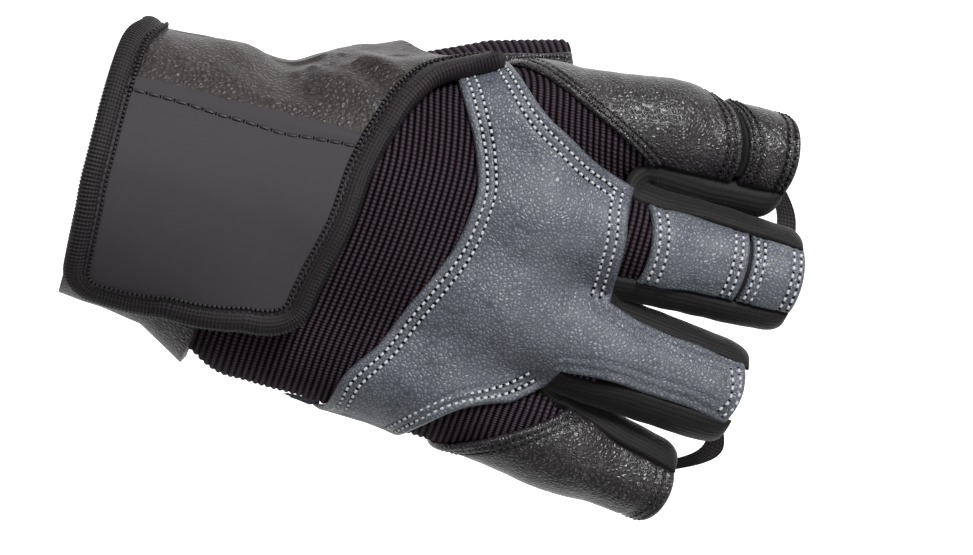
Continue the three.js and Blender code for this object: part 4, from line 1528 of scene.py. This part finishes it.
@dataclass(frozen=True)
class Thumb:
    """The thumb's tube: ribbed cloth on the side away from the hand and leather towards it.

    The seams are degrees round the thumb. The sunk depth is how far in the hand a cell may lie before it goes.
    """

    seams: tuple[float, float] = (45.0, 206.0)
    counts: tuple[int, int] = (84, 72)
    sunk: float = 0.6
    row: float = 2.0
    slant: float = 190.0

    def tube(self, low: float, high: float) -> tuple[Array, Array, Grid]:
        """Lays out the part of the tube between two angles.

        Args:
            low: The first angle, in degrees.
            high: The last angle.

        Returns:
            x and the angle of each point, and the grid.
        """
        b = angles_round("thumb", low, high, self.counts[1])
        length = (THUMB_END - THUMB_ROOT) * GLOVE_LENGTH
        x = THUMB_ROOT * GLOVE_LENGTH + rimmed([length], self.counts[0])
        a, turns = np.broadcast_arrays(x, b)
        outside = lambda points: HAND.palm(centres(points).reshape(-1, 3)).reshape(len(x) - 1, -1) > -self.sunk
        return a, turns, lay(FINGERS["thumb"], a, turns, 0.0, outside)

    def build(self) -> None:
        """Makes both parts of the tube, and sews its seams and its end."""
        first, second = self.seams
        a, turns, grid = self.tube(first, second)
        phase = (a - a[0]) / RIB_PITCH + (turns - first) / self.slant
        top = LEATHER_WALL - ribs(phase) + 0.1 * wobble(grid.points, 12.0, 91) - 0.7 * ease(1 - (a[-1] - a) / 1.2)
        weave = (phase, np.radians(turns) * FINGER_RADII["thumb"] / KNOT)
        make_sheet("thumb_ribs", grid, Look.RIB, np.maximum(top, THINNEST), weave=weave)
        grid = self.tube(second - 360.0, first)[2]
        top = hem(grid.edge, LEATHER_WALL + 0.3, (self.row,)) + 0.2 * wobble(grid.points, 14.0, 92)
        make_sheet("thumb_leather", grid, Look.BLACK, np.maximum(top, THINNEST))
        self.sew()

    def sew(self) -> None:
        """Sews a row of stitches along each seam and round the end."""
        first, second = self.seams
        inset = math.degrees(self.row / FINGER_RADII["thumb"])
        height = LEATHER_WALL + 0.15
        x = np.linspace(THUMB_ROOT + 0.02, THUMB_END - 0.012, 90) * GLOVE_LENGTH
        for seam in (first - inset, second - 360.0 + inset):
            DARK_THREAD.sew_on(FINGERS["thumb"], x, seam, height)
        turns = np.linspace(second - 350.0, first - 10.0, 90)
        DARK_THREAD.sew_on(FINGERS["thumb"], THUMB_END * GLOVE_LENGTH - self.row, turns, height)


# The wrap's edges as it winds: the turn, and x of its wrist edge and of its finger edge in shares of the length.
WRAP_EDGES = (
    (-0.5, -0.012, 0.2),
    (-1.2, -0.022, 0.185),
    (-2.0, -0.028, 0.17),
    (-3.0, -0.028, 0.19),
    (-4.0, -0.028, 0.24),
    (-5.0, -0.028, 0.29),
    (-5.6, -0.016, 0.35),
    (-6.0, -0.004, 0.41),
    (-6.2, -0.004, 0.47),
    (-6.4, -0.018, 0.51),
    (-6.5, -0.022, 0.475),
    (-6.6, -0.024, 0.435),
    (-6.75, -0.026, 0.408),
    (-7.0, -0.028, 0.382),
    (-7.3, -0.028, 0.368),
    (-8.0, -0.028, 0.356),
    (-8.6, -0.028, 0.336),
    (-9.57, -0.021, 0.315),
)
WRAP_LEANS = ((-9.57, 0.3), (-6.9, -0.3), (-6.2, 0.0), (0.0, 0.0))
STRAP_END = -9.57
STRAP_END_RADIUS = 16.0
WRIST_CORNER_RADIUS = 8.0
PATCH_START = -6.78
BINDING_START = -5.0
BINDING_PEAK = -6.3
BINDING_PITCH = 0.95
TURN_LENGTH = 42.0
PATCH_ROW = 2.0

# The binding's section: how far in from the edge and how far above the strap's underside, round a closed loop.
BINDING_SECTION = (
    (3.0, -0.3),
    (1.0, -0.4),
    (0.1, -0.3),
    (-0.4, 0.4),
    (-0.6, 1.5),
    (-0.5, 2.6),
    (-0.1, 3.4),
    (0.7, 3.8),
    (1.9, 3.9),
    (3.1, 3.65),
    (4.1, 3.15),
    (4.7, 2.65),
    (5.2, 2.7),
    (5.7, 2.85),
    (6.2, 2.6),
    (6.4, 1.8),
    (0.8, 1.9),
    (0.2, 1.0),
    (0.8, 0.1),
    (3.0, 0.1),
)

# Folds in the strap's leather, seen from above. Columns: x and y of both ends, height and width, in millimetres.
STRAP_FOLDS = (
    (39.0, 32.5, 52.0, 35.0, -0.6, 1.7),
    (50.0, 36.0, 67.0, 31.0, -1.3, 1.5),
    (44.0, 30.0, 64.0, 27.5, 1.1, 2.6),
    (12.0, 38.0, 30.0, 34.0, 0.9, 3.4),
    (56.0, 38.0, 68.0, 35.0, 0.8, 2.2),
    (47.0, 24.5, 63.0, 24.0, 0.5, 1.6),
)

# Where the strap sinks in at the thumb's side of the wrist: x, y, half-widths in both and the depth.
STRAP_DIP = (37.0, 34.0, 8.5, 11.0, 2.9)


@dataclass(frozen=True)
class Wrap:
    """The wrist wrap: its leather, the smooth patch on its end, and the ribbed binding round its edge.

    The first value and the climb are turns: where the wrap starts, and where it climbs over its own start.
    """

    first: float = -0.5
    climb: float = -6.2
    columns: int = 330

    def corner_inset(self, turn: Array, radius: float) -> Array:
        """Rounds a corner of the strap's end.

        Args:
            turn: Turns.
            radius: The corner's radius.

        Returns:
            How far the edge is drawn in there, which follows a circle.
        """
        rounding = np.maximum(0.0, radius - (turn - STRAP_END) * TURN_LENGTH)
        return radius - np.sqrt(np.maximum(radius**2 - rounding**2 * 0.98, 0.0))

    def line(self, turn: Array) -> tuple[Array, Array, Array]:
        """Finds the lines across the wrap.

        Args:
            turn: The turns at which the lines start.

        Returns:
            x of both ends of each line, and how many turns it leans.
        """
        smooth = spline(np.array(WRAP_EDGES), 400)[::-1]
        lean = np.interp(turn, *np.array(WRAP_LEANS).T)
        start = np.interp(turn, smooth[:, 0], smooth[:, 1]) * GLOVE_LENGTH
        start = start + self.corner_inset(turn, WRIST_CORNER_RADIUS)
        end = np.interp(turn + lean, smooth[:, 0], smooth[:, 2]) * GLOVE_LENGTH
        return start, end - self.corner_inset(turn, STRAP_END_RADIUS), lean

    def places(self, turn: Array, share: Array) -> tuple[Array, Array]:
        """Returns x and the real turn at shares of the lines across the wrap."""
        start, end, lean = self.line(turn)
        return start + (end - start) * share, turn + lean * share**2

    def base(self, turn: Array) -> Array:
        """Returns the height of the wrap's underside, which climbs over its own start."""
        return STRAP_BASE + (FLAP_BASE - STRAP_BASE) * ease((turn - self.climb) / -2.0)

    def folds(self, points: Array) -> Array:
        """Raises the folds in the strap's leather, each a bell curve across its line with a dent beside it.

        Args:
            points: The strap's points.

        Returns:
            The height of the folds at each point.
        """
        height = np.zeros(points.shape[:-1])
        for ax, ay, bx, by, rise, width in STRAP_FOLDS:
            a = np.array([ax, ay])
            along = np.array([bx, by]) - a
            out = points[..., :2] - a
            t = np.clip(out @ along / (along @ along), 0.0, 1.0)
            distance = np.linalg.norm(out - t[..., None] * along, axis=-1)
            height = height + rise * bell(distance, width) * (0.6 + 1.6 * t * (1 - t))
            height = height - 0.5 * rise * bell(distance - 1.7 * width, width)
        return np.where(points[..., 2] > 0, height, 0.0)

    def build(self) -> None:
        """Makes the wrist wrap: its leather, the smooth patch on its end, and the ribbed binding round its edge."""
        turn = np.linspace(self.first, STRAP_END, self.columns)
        start, end, _ = self.line(turn)
        share = rimmed(end - start, 78) / (end - start)
        a, b = self.places(turn, share)
        base = np.broadcast_to(self.base(turn), a.shape)
        grid = lay(WRAP, a, b, base)
        edge = np.minimum(a - start, end - a)
        calm = ease((turn - PATCH_START) / 0.12) * ease((edge - 4.0) / 4.0)
        x, y, length, width, depth = STRAP_DIP
        place = ((grid.points[..., 0] - x) / length) ** 2 + ((grid.points[..., 1] - y) / width) ** 2
        grid.points[...] = grid.points - grid.normals * (depth * np.exp(-place) * calm)[..., None]
        loose = 0.3 * wobble(grid.points, 22.0, 101) + 0.12 * wobble(grid.points, 8.0, 102) + self.folds(grid.points)
        make_sheet("wrap_leather", grid, Look.STRAP, np.maximum(STRAP_WALL + loose * calm, 1.25))
        self.build_patch()
        self.build_binding()

    def build_patch(self) -> None:
        """Makes the smooth patch on the strap's end, and the row of stitches along its free edge."""
        turn = np.linspace(PATCH_START, STRAP_END + 0.1, 130)
        start, end, _ = self.line(turn)
        inset = BINDING_WIDTH - 1.2
        a, b = self.places(turn, (inset + rimmed(end - start - 2 * inset, 60)) / (end - start))
        grid = lay(WRAP, a, b, np.broadcast_to(self.base(turn) + STRAP_WALL - 0.1, a.shape))
        along = (PATCH_START - turn) * 20.0 + 0.0 * a
        top = quarter_round(along / 0.8) + 0.07 * wobble(grid.points, 34.0, 103)
        top = top - 0.3 * bell(along - PATCH_ROW, GROOVE)
        make_sheet("wrap_patch", grid, Look.PATCH, np.maximum(top, 0.1))
        row = np.array(PATCH_START - PATCH_ROW / 20.0)
        a, b = self.places(row, np.linspace(0.09, 0.91, 160))
        STRAP_THREAD.sew_on(WRAP, a, b, self.base(row) + STRAP_WALL + 0.62)

    def binding_path(self) -> tuple[Array, Array]:
        """Follows the wrap's edge at its underside, with its corners softened.

        Returns:
            Points a quarter of a rib apart, and the height of the underside there.
        """
        turn = np.linspace(BINDING_START, STRAP_END, 900)
        back = turn[turn < BINDING_PEAK][::-1]
        share = np.concatenate([0 * turn, np.linspace(0, 1, 60)[1:-1], 0 * back + 1])
        turn = np.concatenate([turn, np.full(58, STRAP_END), back])
        a, b = self.places(turn, share)
        points = WRAP.land(a, b, self.base(turn))
        along = lengths(points)
        at = np.arange(0.0, along[-1], BINDING_PITCH / 4)
        even = at_places(at, along, points)
        kernel = np.hanning(13) / np.hanning(13).sum()
        padded = np.pad(even, ((6, 6), (0, 0)), mode="edge")
        soft = np.stack([np.convolve(column, kernel, mode="valid") for column in padded.T], axis=-1)
        return soft, np.interp(at, along, self.base(turn))

    def build_binding(self) -> None:
        """Makes the ribbed tape that is folded round the wrap's edge."""
        path, base = self.binding_path()
        normal = WRAP.normals(path)
        run = unit(np.gradient(path, axis=0))
        inward = unit(np.cross(normal, run))
        middle = WRAP.land([0.15 * GLOVE_LENGTH], [-8.0], FLAP_BASE)[0]
        top = np.argmin(np.linalg.norm(path - middle, axis=1))
        if np.dot(inward[top], middle - path[top]) < 0:
            inward = -inward
        section = np.array(BINDING_SECTION)
        rib = 0.5 - 0.5 * np.cos(2 * math.pi * np.arange(len(path)) / 4)
        outer = np.zeros(len(section))
        outer[2:12] = (0.6, 1.0, 1.0, 1.0, 1.0, 0.9, 0.75, 0.5, 0.25, 0.1)
        swell = 0.3 * rib[:, None] * outer
        core = section.mean(axis=0) + [0.0, 0.2]
        out = unit(section - core)
        inset = section[:, 0] + swell * out[:, 0]
        height = section[:, 1] + swell * out[:, 1] + base[:, None]
        points = path[:, None] + inward[:, None] * inset[..., None]
        for _ in range(3):
            left = height - WRAP.form(points.reshape(-1, 3)).reshape(height.shape)
            points = points + WRAP.normals(points) * left[..., None]
        caps = [np.broadcast_to(points[i].mean(axis=0), points[i].shape) for i in (0, -1)]
        rings = np.concatenate([caps[0][None], points, caps[1][None]])
        index = np.arange(rings.shape[0] * rings.shape[1]).reshape(rings.shape[:2])
        after = np.roll(index, -1, axis=1)
        faces = np.stack([index[:-1], after[:-1], after[1:], index[1:]], axis=-1).reshape(-1, 4)
        low, high = points[top, 8], points[top, 0]
        face = np.cross(points[top, 9] - low, points[top + 1, 8] - low)
        if np.dot(face, low - high) < 0:
            faces = faces[:, ::-1]
        count = np.arange(rings.shape[0])[:, None] / 4 + 0 * section[:, 0]
        weave = np.stack([count, np.broadcast_to(section[:, 0] / 0.9, count.shape)], axis=-1).reshape(-1, 2)
        make_mesh("wrap_binding", rings.reshape(-1, 3), faces, Look.TAPE, weave)
        BRAID_THREAD.sew(points[8:-8, 13], WRAP.normals(points[8:-8, 13]))
        DARK_THREAD.sew(points[8:-8, 11], WRAP.normals(points[8:-8, 11]))


@dataclass(frozen=True)
class PullLoop:
    """A loop of tape that joins two fingers' ends on the palm side."""

    near: str
    far: str
    reach: float
    back: float = 7.0
    drop: float = 2.0
    width: float = 5.0
    wall: float = 1.0

    def foot(self, finger: str, x: float, lean: float) -> Array:
        """Returns where the tape lies on a finger's palm side."""
        return FINGERS[finger].land([x], [180.0 + lean], FRONT_WALL + 0.35)[0]

    def build(self) -> None:
        """Makes the loop."""
        near_x = FINGER_ENDS[self.near] * GLOVE_LENGTH - self.back
        far_x = FINGER_ENDS[self.far] * GLOVE_LENGTH - self.back
        start, end = self.foot(self.near, near_x, 20.0), self.foot(self.far, far_x, -20.0)
        middle = (start + end) / 2 + [self.reach, 0.0, -self.drop]
        feet = (self.foot(self.near, near_x - self.width, 0.0), self.foot(self.far, far_x - self.width, 0.0))
        path = spline([feet[0], start, middle, end, feet[1]], 120)
        along = [HAND.axis(name, np.array([x]))[1][0] for name, x in ((self.near, near_x), (self.far, far_x))]
        across = unit(np.array(along).sum(axis=0))
        share = np.linspace(0.0, 1.0, 15)
        points = path[:, None] + across * self.width * share[:, None]
        run = np.gradient(path, axis=0)
        side = unit(np.cross(run, across))
        normals = np.repeat((side * np.where(side[:, 2:] < 0, 1.0, -1.0))[:, None], len(share), axis=1)
        keep = np.ones((len(path) - 1, len(share) - 1), dtype=bool)
        rows, columns = np.gradient(points, axis=0), np.gradient(points, axis=1)
        turned = bool(np.einsum("ijk,ijk->ij", np.cross(rows, columns), normals).sum() < 0)
        grid = Grid(points, normals, keep, edge_distance(points, keep), turned)
        steps = lengths(path)
        ridge = 0.12 * np.sin(2 * math.pi * steps / BINDING_PITCH)[:, None]
        top = self.wall * (0.35 + 0.65 * np.sqrt(np.clip(grid.edge / 0.8, 0, 1))) + ridge
        weave = (steps[:, None] / BINDING_PITCH, share * self.width / 0.9)
        make_sheet(f"{self.near}_{self.far}_tape", grid, Look.TAPE, top, weave=weave)


PULL_LOOPS = (PullLoop("index", "middle", 4.5), PullLoop("ring", "pinky", 9.5))


@dataclass(frozen=True)
class Finish:
    """What one finish looks like. Sizes are in millimetres."""

    colour: str
    # The darker end of the colour: painted shade in leather grain valleys and in the gaps of woven finishes, and the
    # low end of random tone in smooth finishes.
    shade: str
    roughness: float
    grain: float
    relief: float
    specular: float = 0.4
    sheen: float = 0.0
    crease: float = 0.0


FINISHES = {
    Look.GREY: Finish("666973", "2f3238", 0.4, 1.05, 0.13, 0.5, 0.0, 0.3),
    Look.BLACK: Finish("2b262a", "060506", 0.34, 1.1, 0.16, 0.55, 0.0, 0.4),
    Look.STRAP: Finish("352d2d", "0a0808", 0.45, 1.35, 0.2, 0.4, 0.0, 0.5),
    Look.PATCH: Finish("3a373b", "343135", 0.72, 0.25, 0.015, 0.22),
    Look.RIB: Finish("4b3f48", "010001", 0.85, 0.4, 0.2, 0.06),
    Look.GUSSET: Finish("1f1c1e", "050405", 0.65, 0.3, 0.1, 0.25, 0.08),
    Look.TAPE: Finish("30292e", "060506", 0.6, 0.3, 0.08, 0.25),
    Look.LIGHT_THREAD: Finish("c9cdd2", "989ca2", 0.6, 0.2, 0.03, 0.3),
    Look.DARK_THREAD: Finish("232023", "100e10", 0.5, 0.2, 0.03, 0.35),
    # Near-black finish of the needle-hole rods: painted shade.
    Look.HOLE_SHADE: Finish("0a090a", "060506", 0.9, 0.2, 0.02, 0.1),
}
WOVEN = (Look.RIB, Look.TAPE, Look.GUSSET)


def linear(code: str) -> tuple[float, float, float, float]:
    """Turns a hex sRGB colour into linear values."""
    parts = (int(code[i : i + 2], 16) / 255 for i in (0, 2, 4))
    return (*(c / 12.92 if c <= 0.04045 else ((c + 0.055) / 1.055) ** 2.4 for c in parts), 1.0)


class MaterialMaker:
    """Builds one procedural material."""

    def __init__(self, look: Look) -> None:
        """Starts a material with its shader.

        Args:
            look: The finish to build.
        """
        self.look = look
        self.finish = FINISHES[look]
        self.material = bpy.data.materials.new(look.value)
        self.material.use_nodes = True
        self.tree = self.material.node_tree
        self.shader = next(node for node in self.tree.nodes if node.type == "BSDF_PRINCIPLED")
        self.place = self.node("ShaderNodeTexCoord").outputs["Object"]

    def node(self, kind: str, links: dict | None = None, **values: object) -> bpy.types.Node:
        """Adds a node.

        Args:
            kind: The node's type.
            links: Output sockets for its inputs, by name or number.
            values: Attributes, or numbers for its inputs where no attribute has the name.

        Returns:
            The new node.
        """
        made = self.tree.nodes.new(kind)
        for name, value in values.items():
            if hasattr(made, name):
                setattr(made, name, value)
            else:
                made.inputs[name.replace("_", " ").title()].default_value = value
        for name, socket in (links or {}).items():
            self.tree.links.new(socket, made.inputs[name])
        return made

    def maths(self, operation: str, a: object, b: object = 0.0) -> bpy.types.NodeSocket:
        """Adds a sum and returns its result. Both terms are numbers or sockets."""
        made = self.node("ShaderNodeMath", operation=operation)
        for i, term in enumerate((a, b)):
            if isinstance(term, bpy.types.NodeSocket):
                self.tree.links.new(term, made.inputs[i])
            else:
                made.inputs[i].default_value = term
        return made.outputs[0]

    def noise(self, size: float, detail: float = 3.0, rough: float = 0.55) -> bpy.types.NodeSocket:
        """Adds noise whose bumps are about size millimetres across."""
        made = self.node("ShaderNodeTexNoise", {"Vector": self.place}, Scale=1.0 / (size * METRE), Detail=detail)
        made.inputs["Roughness"].default_value = rough
        return made.outputs["Fac"]

    def cells(self, size: float, warp: float = 0.35) -> bpy.types.NodeSocket:
        """Adds the rounded pebbles of leather grain, high in the middle of each."""
        shift = self.node("ShaderNodeTexNoise", {"Vector": self.place}, Scale=0.6 / (size * METRE), Detail=2.0)
        mixed = self.node("ShaderNodeMixRGB", {"Color1": self.place, "Color2": shift.outputs["Color"]})
        mixed.inputs["Fac"].default_value = warp * size * METRE * 2
        made = self.node("ShaderNodeTexVoronoi", {"Vector": mixed.outputs[0]}, feature="DISTANCE_TO_EDGE")
        made.inputs["Scale"].default_value = 1.0 / (size * METRE)
        return made.outputs["Distance"]

    def ramp(self, socket: bpy.types.NodeSocket, low: float, high: float) -> bpy.types.NodeSocket:
        """Returns a share from 0 to 1 as a socket goes from low to high."""
        made = self.node("ShaderNodeMapRange", {"Value": socket}, interpolation_type="SMOOTHSTEP")
        made.inputs["From Min"].default_value = low
        made.inputs["From Max"].default_value = high
        return made.outputs["Result"]

    def colour(self, share: bpy.types.NodeSocket) -> None:
        """Colours the surface from its shade at 0 to its full colour at 1."""
        mixed = self.node("ShaderNodeMixRGB", {"Fac": share})
        mixed.inputs["Color1"].default_value = linear(self.finish.shade)
        mixed.inputs["Color2"].default_value = linear(self.finish.colour)
        self.tree.links.new(mixed.outputs[0], self.shader.inputs["Base Color"])

    def bump(self, height: bpy.types.NodeSocket, distance: float, under: object = None) -> bpy.types.NodeSocket:
        """Adds relief over an earlier one, with its height in millimetres."""
        made = self.node("ShaderNodeBump", {"Height": height}, Strength=1.0, Distance=distance * METRE)
        if under is not None:
            self.tree.links.new(under, made.inputs["Normal"])
        return made.outputs["Normal"]

    def leather(self) -> None:
        """Gives the surface pebbled grain, fine creases and uneven wear, with painted shade in the grain's valleys and
        lighter pebble tops that stand in part for highlights.
        """
        finish = self.finish
        cells = self.cells(finish.grain)
        grain = self.ramp(cells, 0.0, 0.42)
        # Painted shade: the colour falls to the finish's shade in the narrow valleys between pebbles, and the lighter
        # pebble tops stand in part for highlights on the grain.
        pebble_shading = self.ramp(cells, 0.0, 0.18)
        wear = self.noise(17.0, 4.0)
        patchy = self.ramp(self.noise(3.5, 3.0), 0.3, 0.75)
        share = self.maths("ADD", self.maths("MULTIPLY", pebble_shading, 0.62), 0.2)
        share = self.maths("MULTIPLY", share, self.maths("ADD", self.maths("MULTIPLY", wear, 0.6), 0.7))
        self.colour(self.maths("MULTIPLY", share, self.maths("ADD", self.maths("MULTIPLY", patchy, 0.25), 0.85)))
        rough = self.maths("ADD", self.maths("MULTIPLY", wear, 0.16), finish.roughness - 0.02)
        rough = self.maths("SUBTRACT", rough, self.maths("MULTIPLY", grain, 0.12))
        self.tree.links.new(rough, self.shader.inputs["Roughness"])
        low = self.bump(self.noise(9.0, 3.0), finish.crease)
        self.tree.links.new(self.bump(grain, finish.relief, low), self.shader.inputs["Normal"])

    def smooth(self) -> None:
        """Gives the surface a matte moulded skin with a very fine grain."""
        grain = self.noise(self.finish.grain, 2.0)
        wear = self.noise(14.0, 3.0)
        self.colour(self.maths("ADD", self.maths("MULTIPLY", wear, 0.8), self.maths("MULTIPLY", grain, 0.25)))
        rough = self.maths("ADD", self.maths("MULTIPLY", wear, 0.12), self.finish.roughness - 0.06)
        self.tree.links.new(rough, self.shader.inputs["Roughness"])
        self.tree.links.new(self.bump(grain, self.finish.relief), self.shader.inputs["Normal"])

    def woven(self) -> None:
        """Gives the surface yarns that run along and across its weave map, with painted shade between them."""
        finish = self.finish
        parts = self.node("ShaderNodeSeparateXYZ", {"Vector": self.node("ShaderNodeUVMap", uv_map="weave").outputs[0]})
        across = self.maths("ABSOLUTE", self.maths("SINE", self.maths("MULTIPLY", parts.outputs[0], math.pi)))
        along = self.maths("ABSOLUTE", self.maths("SINE", self.maths("MULTIPLY", parts.outputs[1], math.pi)))
        fuzz = self.noise(finish.grain, 3.0)
        knots = self.maths("ADD", self.maths("MULTIPLY", along, 0.7), 0.3)
        # Painted shade: the colour falls to near black between the ribs and between the knots, where shade lies in the
        # knit.
        yarn_gap_shade = self.maths("MULTIPLY", knots, self.maths("POWER", across, 2.5))
        share = self.maths("MULTIPLY", yarn_gap_shade, self.maths("ADD", self.maths("MULTIPLY", fuzz, 0.8), 0.55))
        wear = self.noise(22.0, 3.0)
        self.colour(self.maths("MULTIPLY", share, self.maths("ADD", self.maths("MULTIPLY", wear, 0.7), 0.6)))
        self.shader.inputs["Roughness"].default_value = finish.roughness
        relief = self.bump(along, finish.relief)
        self.tree.links.new(self.bump(fuzz, finish.relief, relief), self.shader.inputs["Normal"])

    def make(self) -> bpy.types.Material:
        """Builds the whole material and returns it."""
        self.shader.inputs["Specular IOR Level"].default_value = self.finish.specular
        self.shader.inputs["Sheen Weight"].default_value = self.finish.sheen
        if self.look in WOVEN:
            self.woven()
        elif self.look not in (Look.GREY, Look.BLACK, Look.STRAP):
            self.smooth()
        else:
            self.leather()
        return self.material


CAMERA_AZIMUTH = 14.0
CAMERA_DISTANCE = 3.0
CAMERA_PLANE = 0.01
LOOK_AT = (0.1032, -0.00705)
VIEW_WIDTH = 0.24325
SENSOR = 36.0
FLOOR_DROP = 0.3


def build_camera() -> None:
    """Makes the camera straight above the hand's back, turned as the photograph is."""
    data = bpy.data.cameras.new("camera")
    data.sensor_width = SENSOR
    data.lens = SENSOR * CAMERA_DISTANCE / VIEW_WIDTH
    camera = bpy.data.objects.new("camera", data)
    camera.location = (*LOOK_AT, CAMERA_PLANE + CAMERA_DISTANCE)
    camera.rotation_euler = (0.0, 0.0, math.radians(CAMERA_AZIMUTH))
    bpy.context.collection.objects.link(camera)
    bpy.context.scene.camera = camera


@dataclass(frozen=True)
class Lamp:
    """A soft area light that points at the middle of the glove."""

    name: str
    place: tuple[float, float, float]
    size: float
    power: float

    def build(self) -> None:
        """Makes the light."""
        data = bpy.data.lights.new(self.name, "AREA")
        data.shape = "DISK"
        data.size = self.size
        data.energy = self.power
        lamp = bpy.data.objects.new(self.name, data)
        lamp.location = self.place
        away = Vector(self.place) - Vector((*LOOK_AT, 0.0))
        lamp.rotation_euler = away.to_track_quat("Z", "Y").to_euler()
        bpy.context.collection.objects.link(lamp)


LAMPS = (
    Lamp("key", (0.3, 0.6, 0.7), 0.3, 10.5),
    Lamp("fill", (0.75, -0.3, 0.8), 0.5, 3.0),
    Lamp("side", (-0.6, 0.25, 0.5), 0.3, 2.0),
)


def build_surroundings() -> None:
    """Makes the pale floor, the lights and the bright room."""
    mesh = bpy.data.meshes.new("floor")
    half = 6.0
    corners = [(-half, -half), (half, -half), (half, half), (-half, half)]
    mesh.from_pydata([(x, y, -FLOOR_DROP) for x, y in corners], [], [(0, 1, 2, 3)])
    floor = bpy.data.objects.new("floor", mesh)
    bpy.context.collection.objects.link(floor)
    material = bpy.data.materials.new("floor")
    material.use_nodes = True
    shader = next(node for node in material.node_tree.nodes if node.type == "BSDF_PRINCIPLED")
    shader.inputs["Base Color"].default_value = (0.93, 0.93, 0.93, 1.0)
    shader.inputs["Roughness"].default_value = 0.9
    shader.inputs["Specular IOR Level"].default_value = 0.0
    shader.inputs["Emission Color"].default_value = (1.0, 1.0, 1.0, 1.0)
    shader.inputs["Emission Strength"].default_value = 0.62
    mesh.materials.append(material)
    world = bpy.data.worlds.new("room")
    world.use_nodes = True
    background = world.node_tree.nodes["Background"]
    background.inputs["Color"].default_value = (1.0, 1.0, 1.0, 1.0)
    background.inputs["Strength"].default_value = 0.2
    bpy.context.scene.world = world
    bpy.context.scene.view_settings.view_transform = "Standard"
    for lamp in LAMPS:
        lamp.build()


def main() -> None:
    """Builds the glove, the camera and the room."""
    logging.basicConfig(level=logging.INFO, format="%(message)s")
    build_camera()
    MATERIALS.update({look: MaterialMaker(look).make() for look in Look})
    for piece in (BackFabric(), BackPanel(), *FINGER_LEATHERS):
        piece.build()
    for leather in FINGER_LEATHERS:
        leather.sew_ends()
    for piece in (*FINGER_FRONTS, Palm(), *WEB_ROLLS, Thumb(), Wrap(), *PULL_LOOPS):
        piece.build()
    for thread in (GREY_THREAD, DARK_THREAD, STRAP_THREAD, BRAID_THREAD, HOLE_SHADES):
        thread.make()
    build_surroundings()
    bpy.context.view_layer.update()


if __name__ == "__main__":
    main()
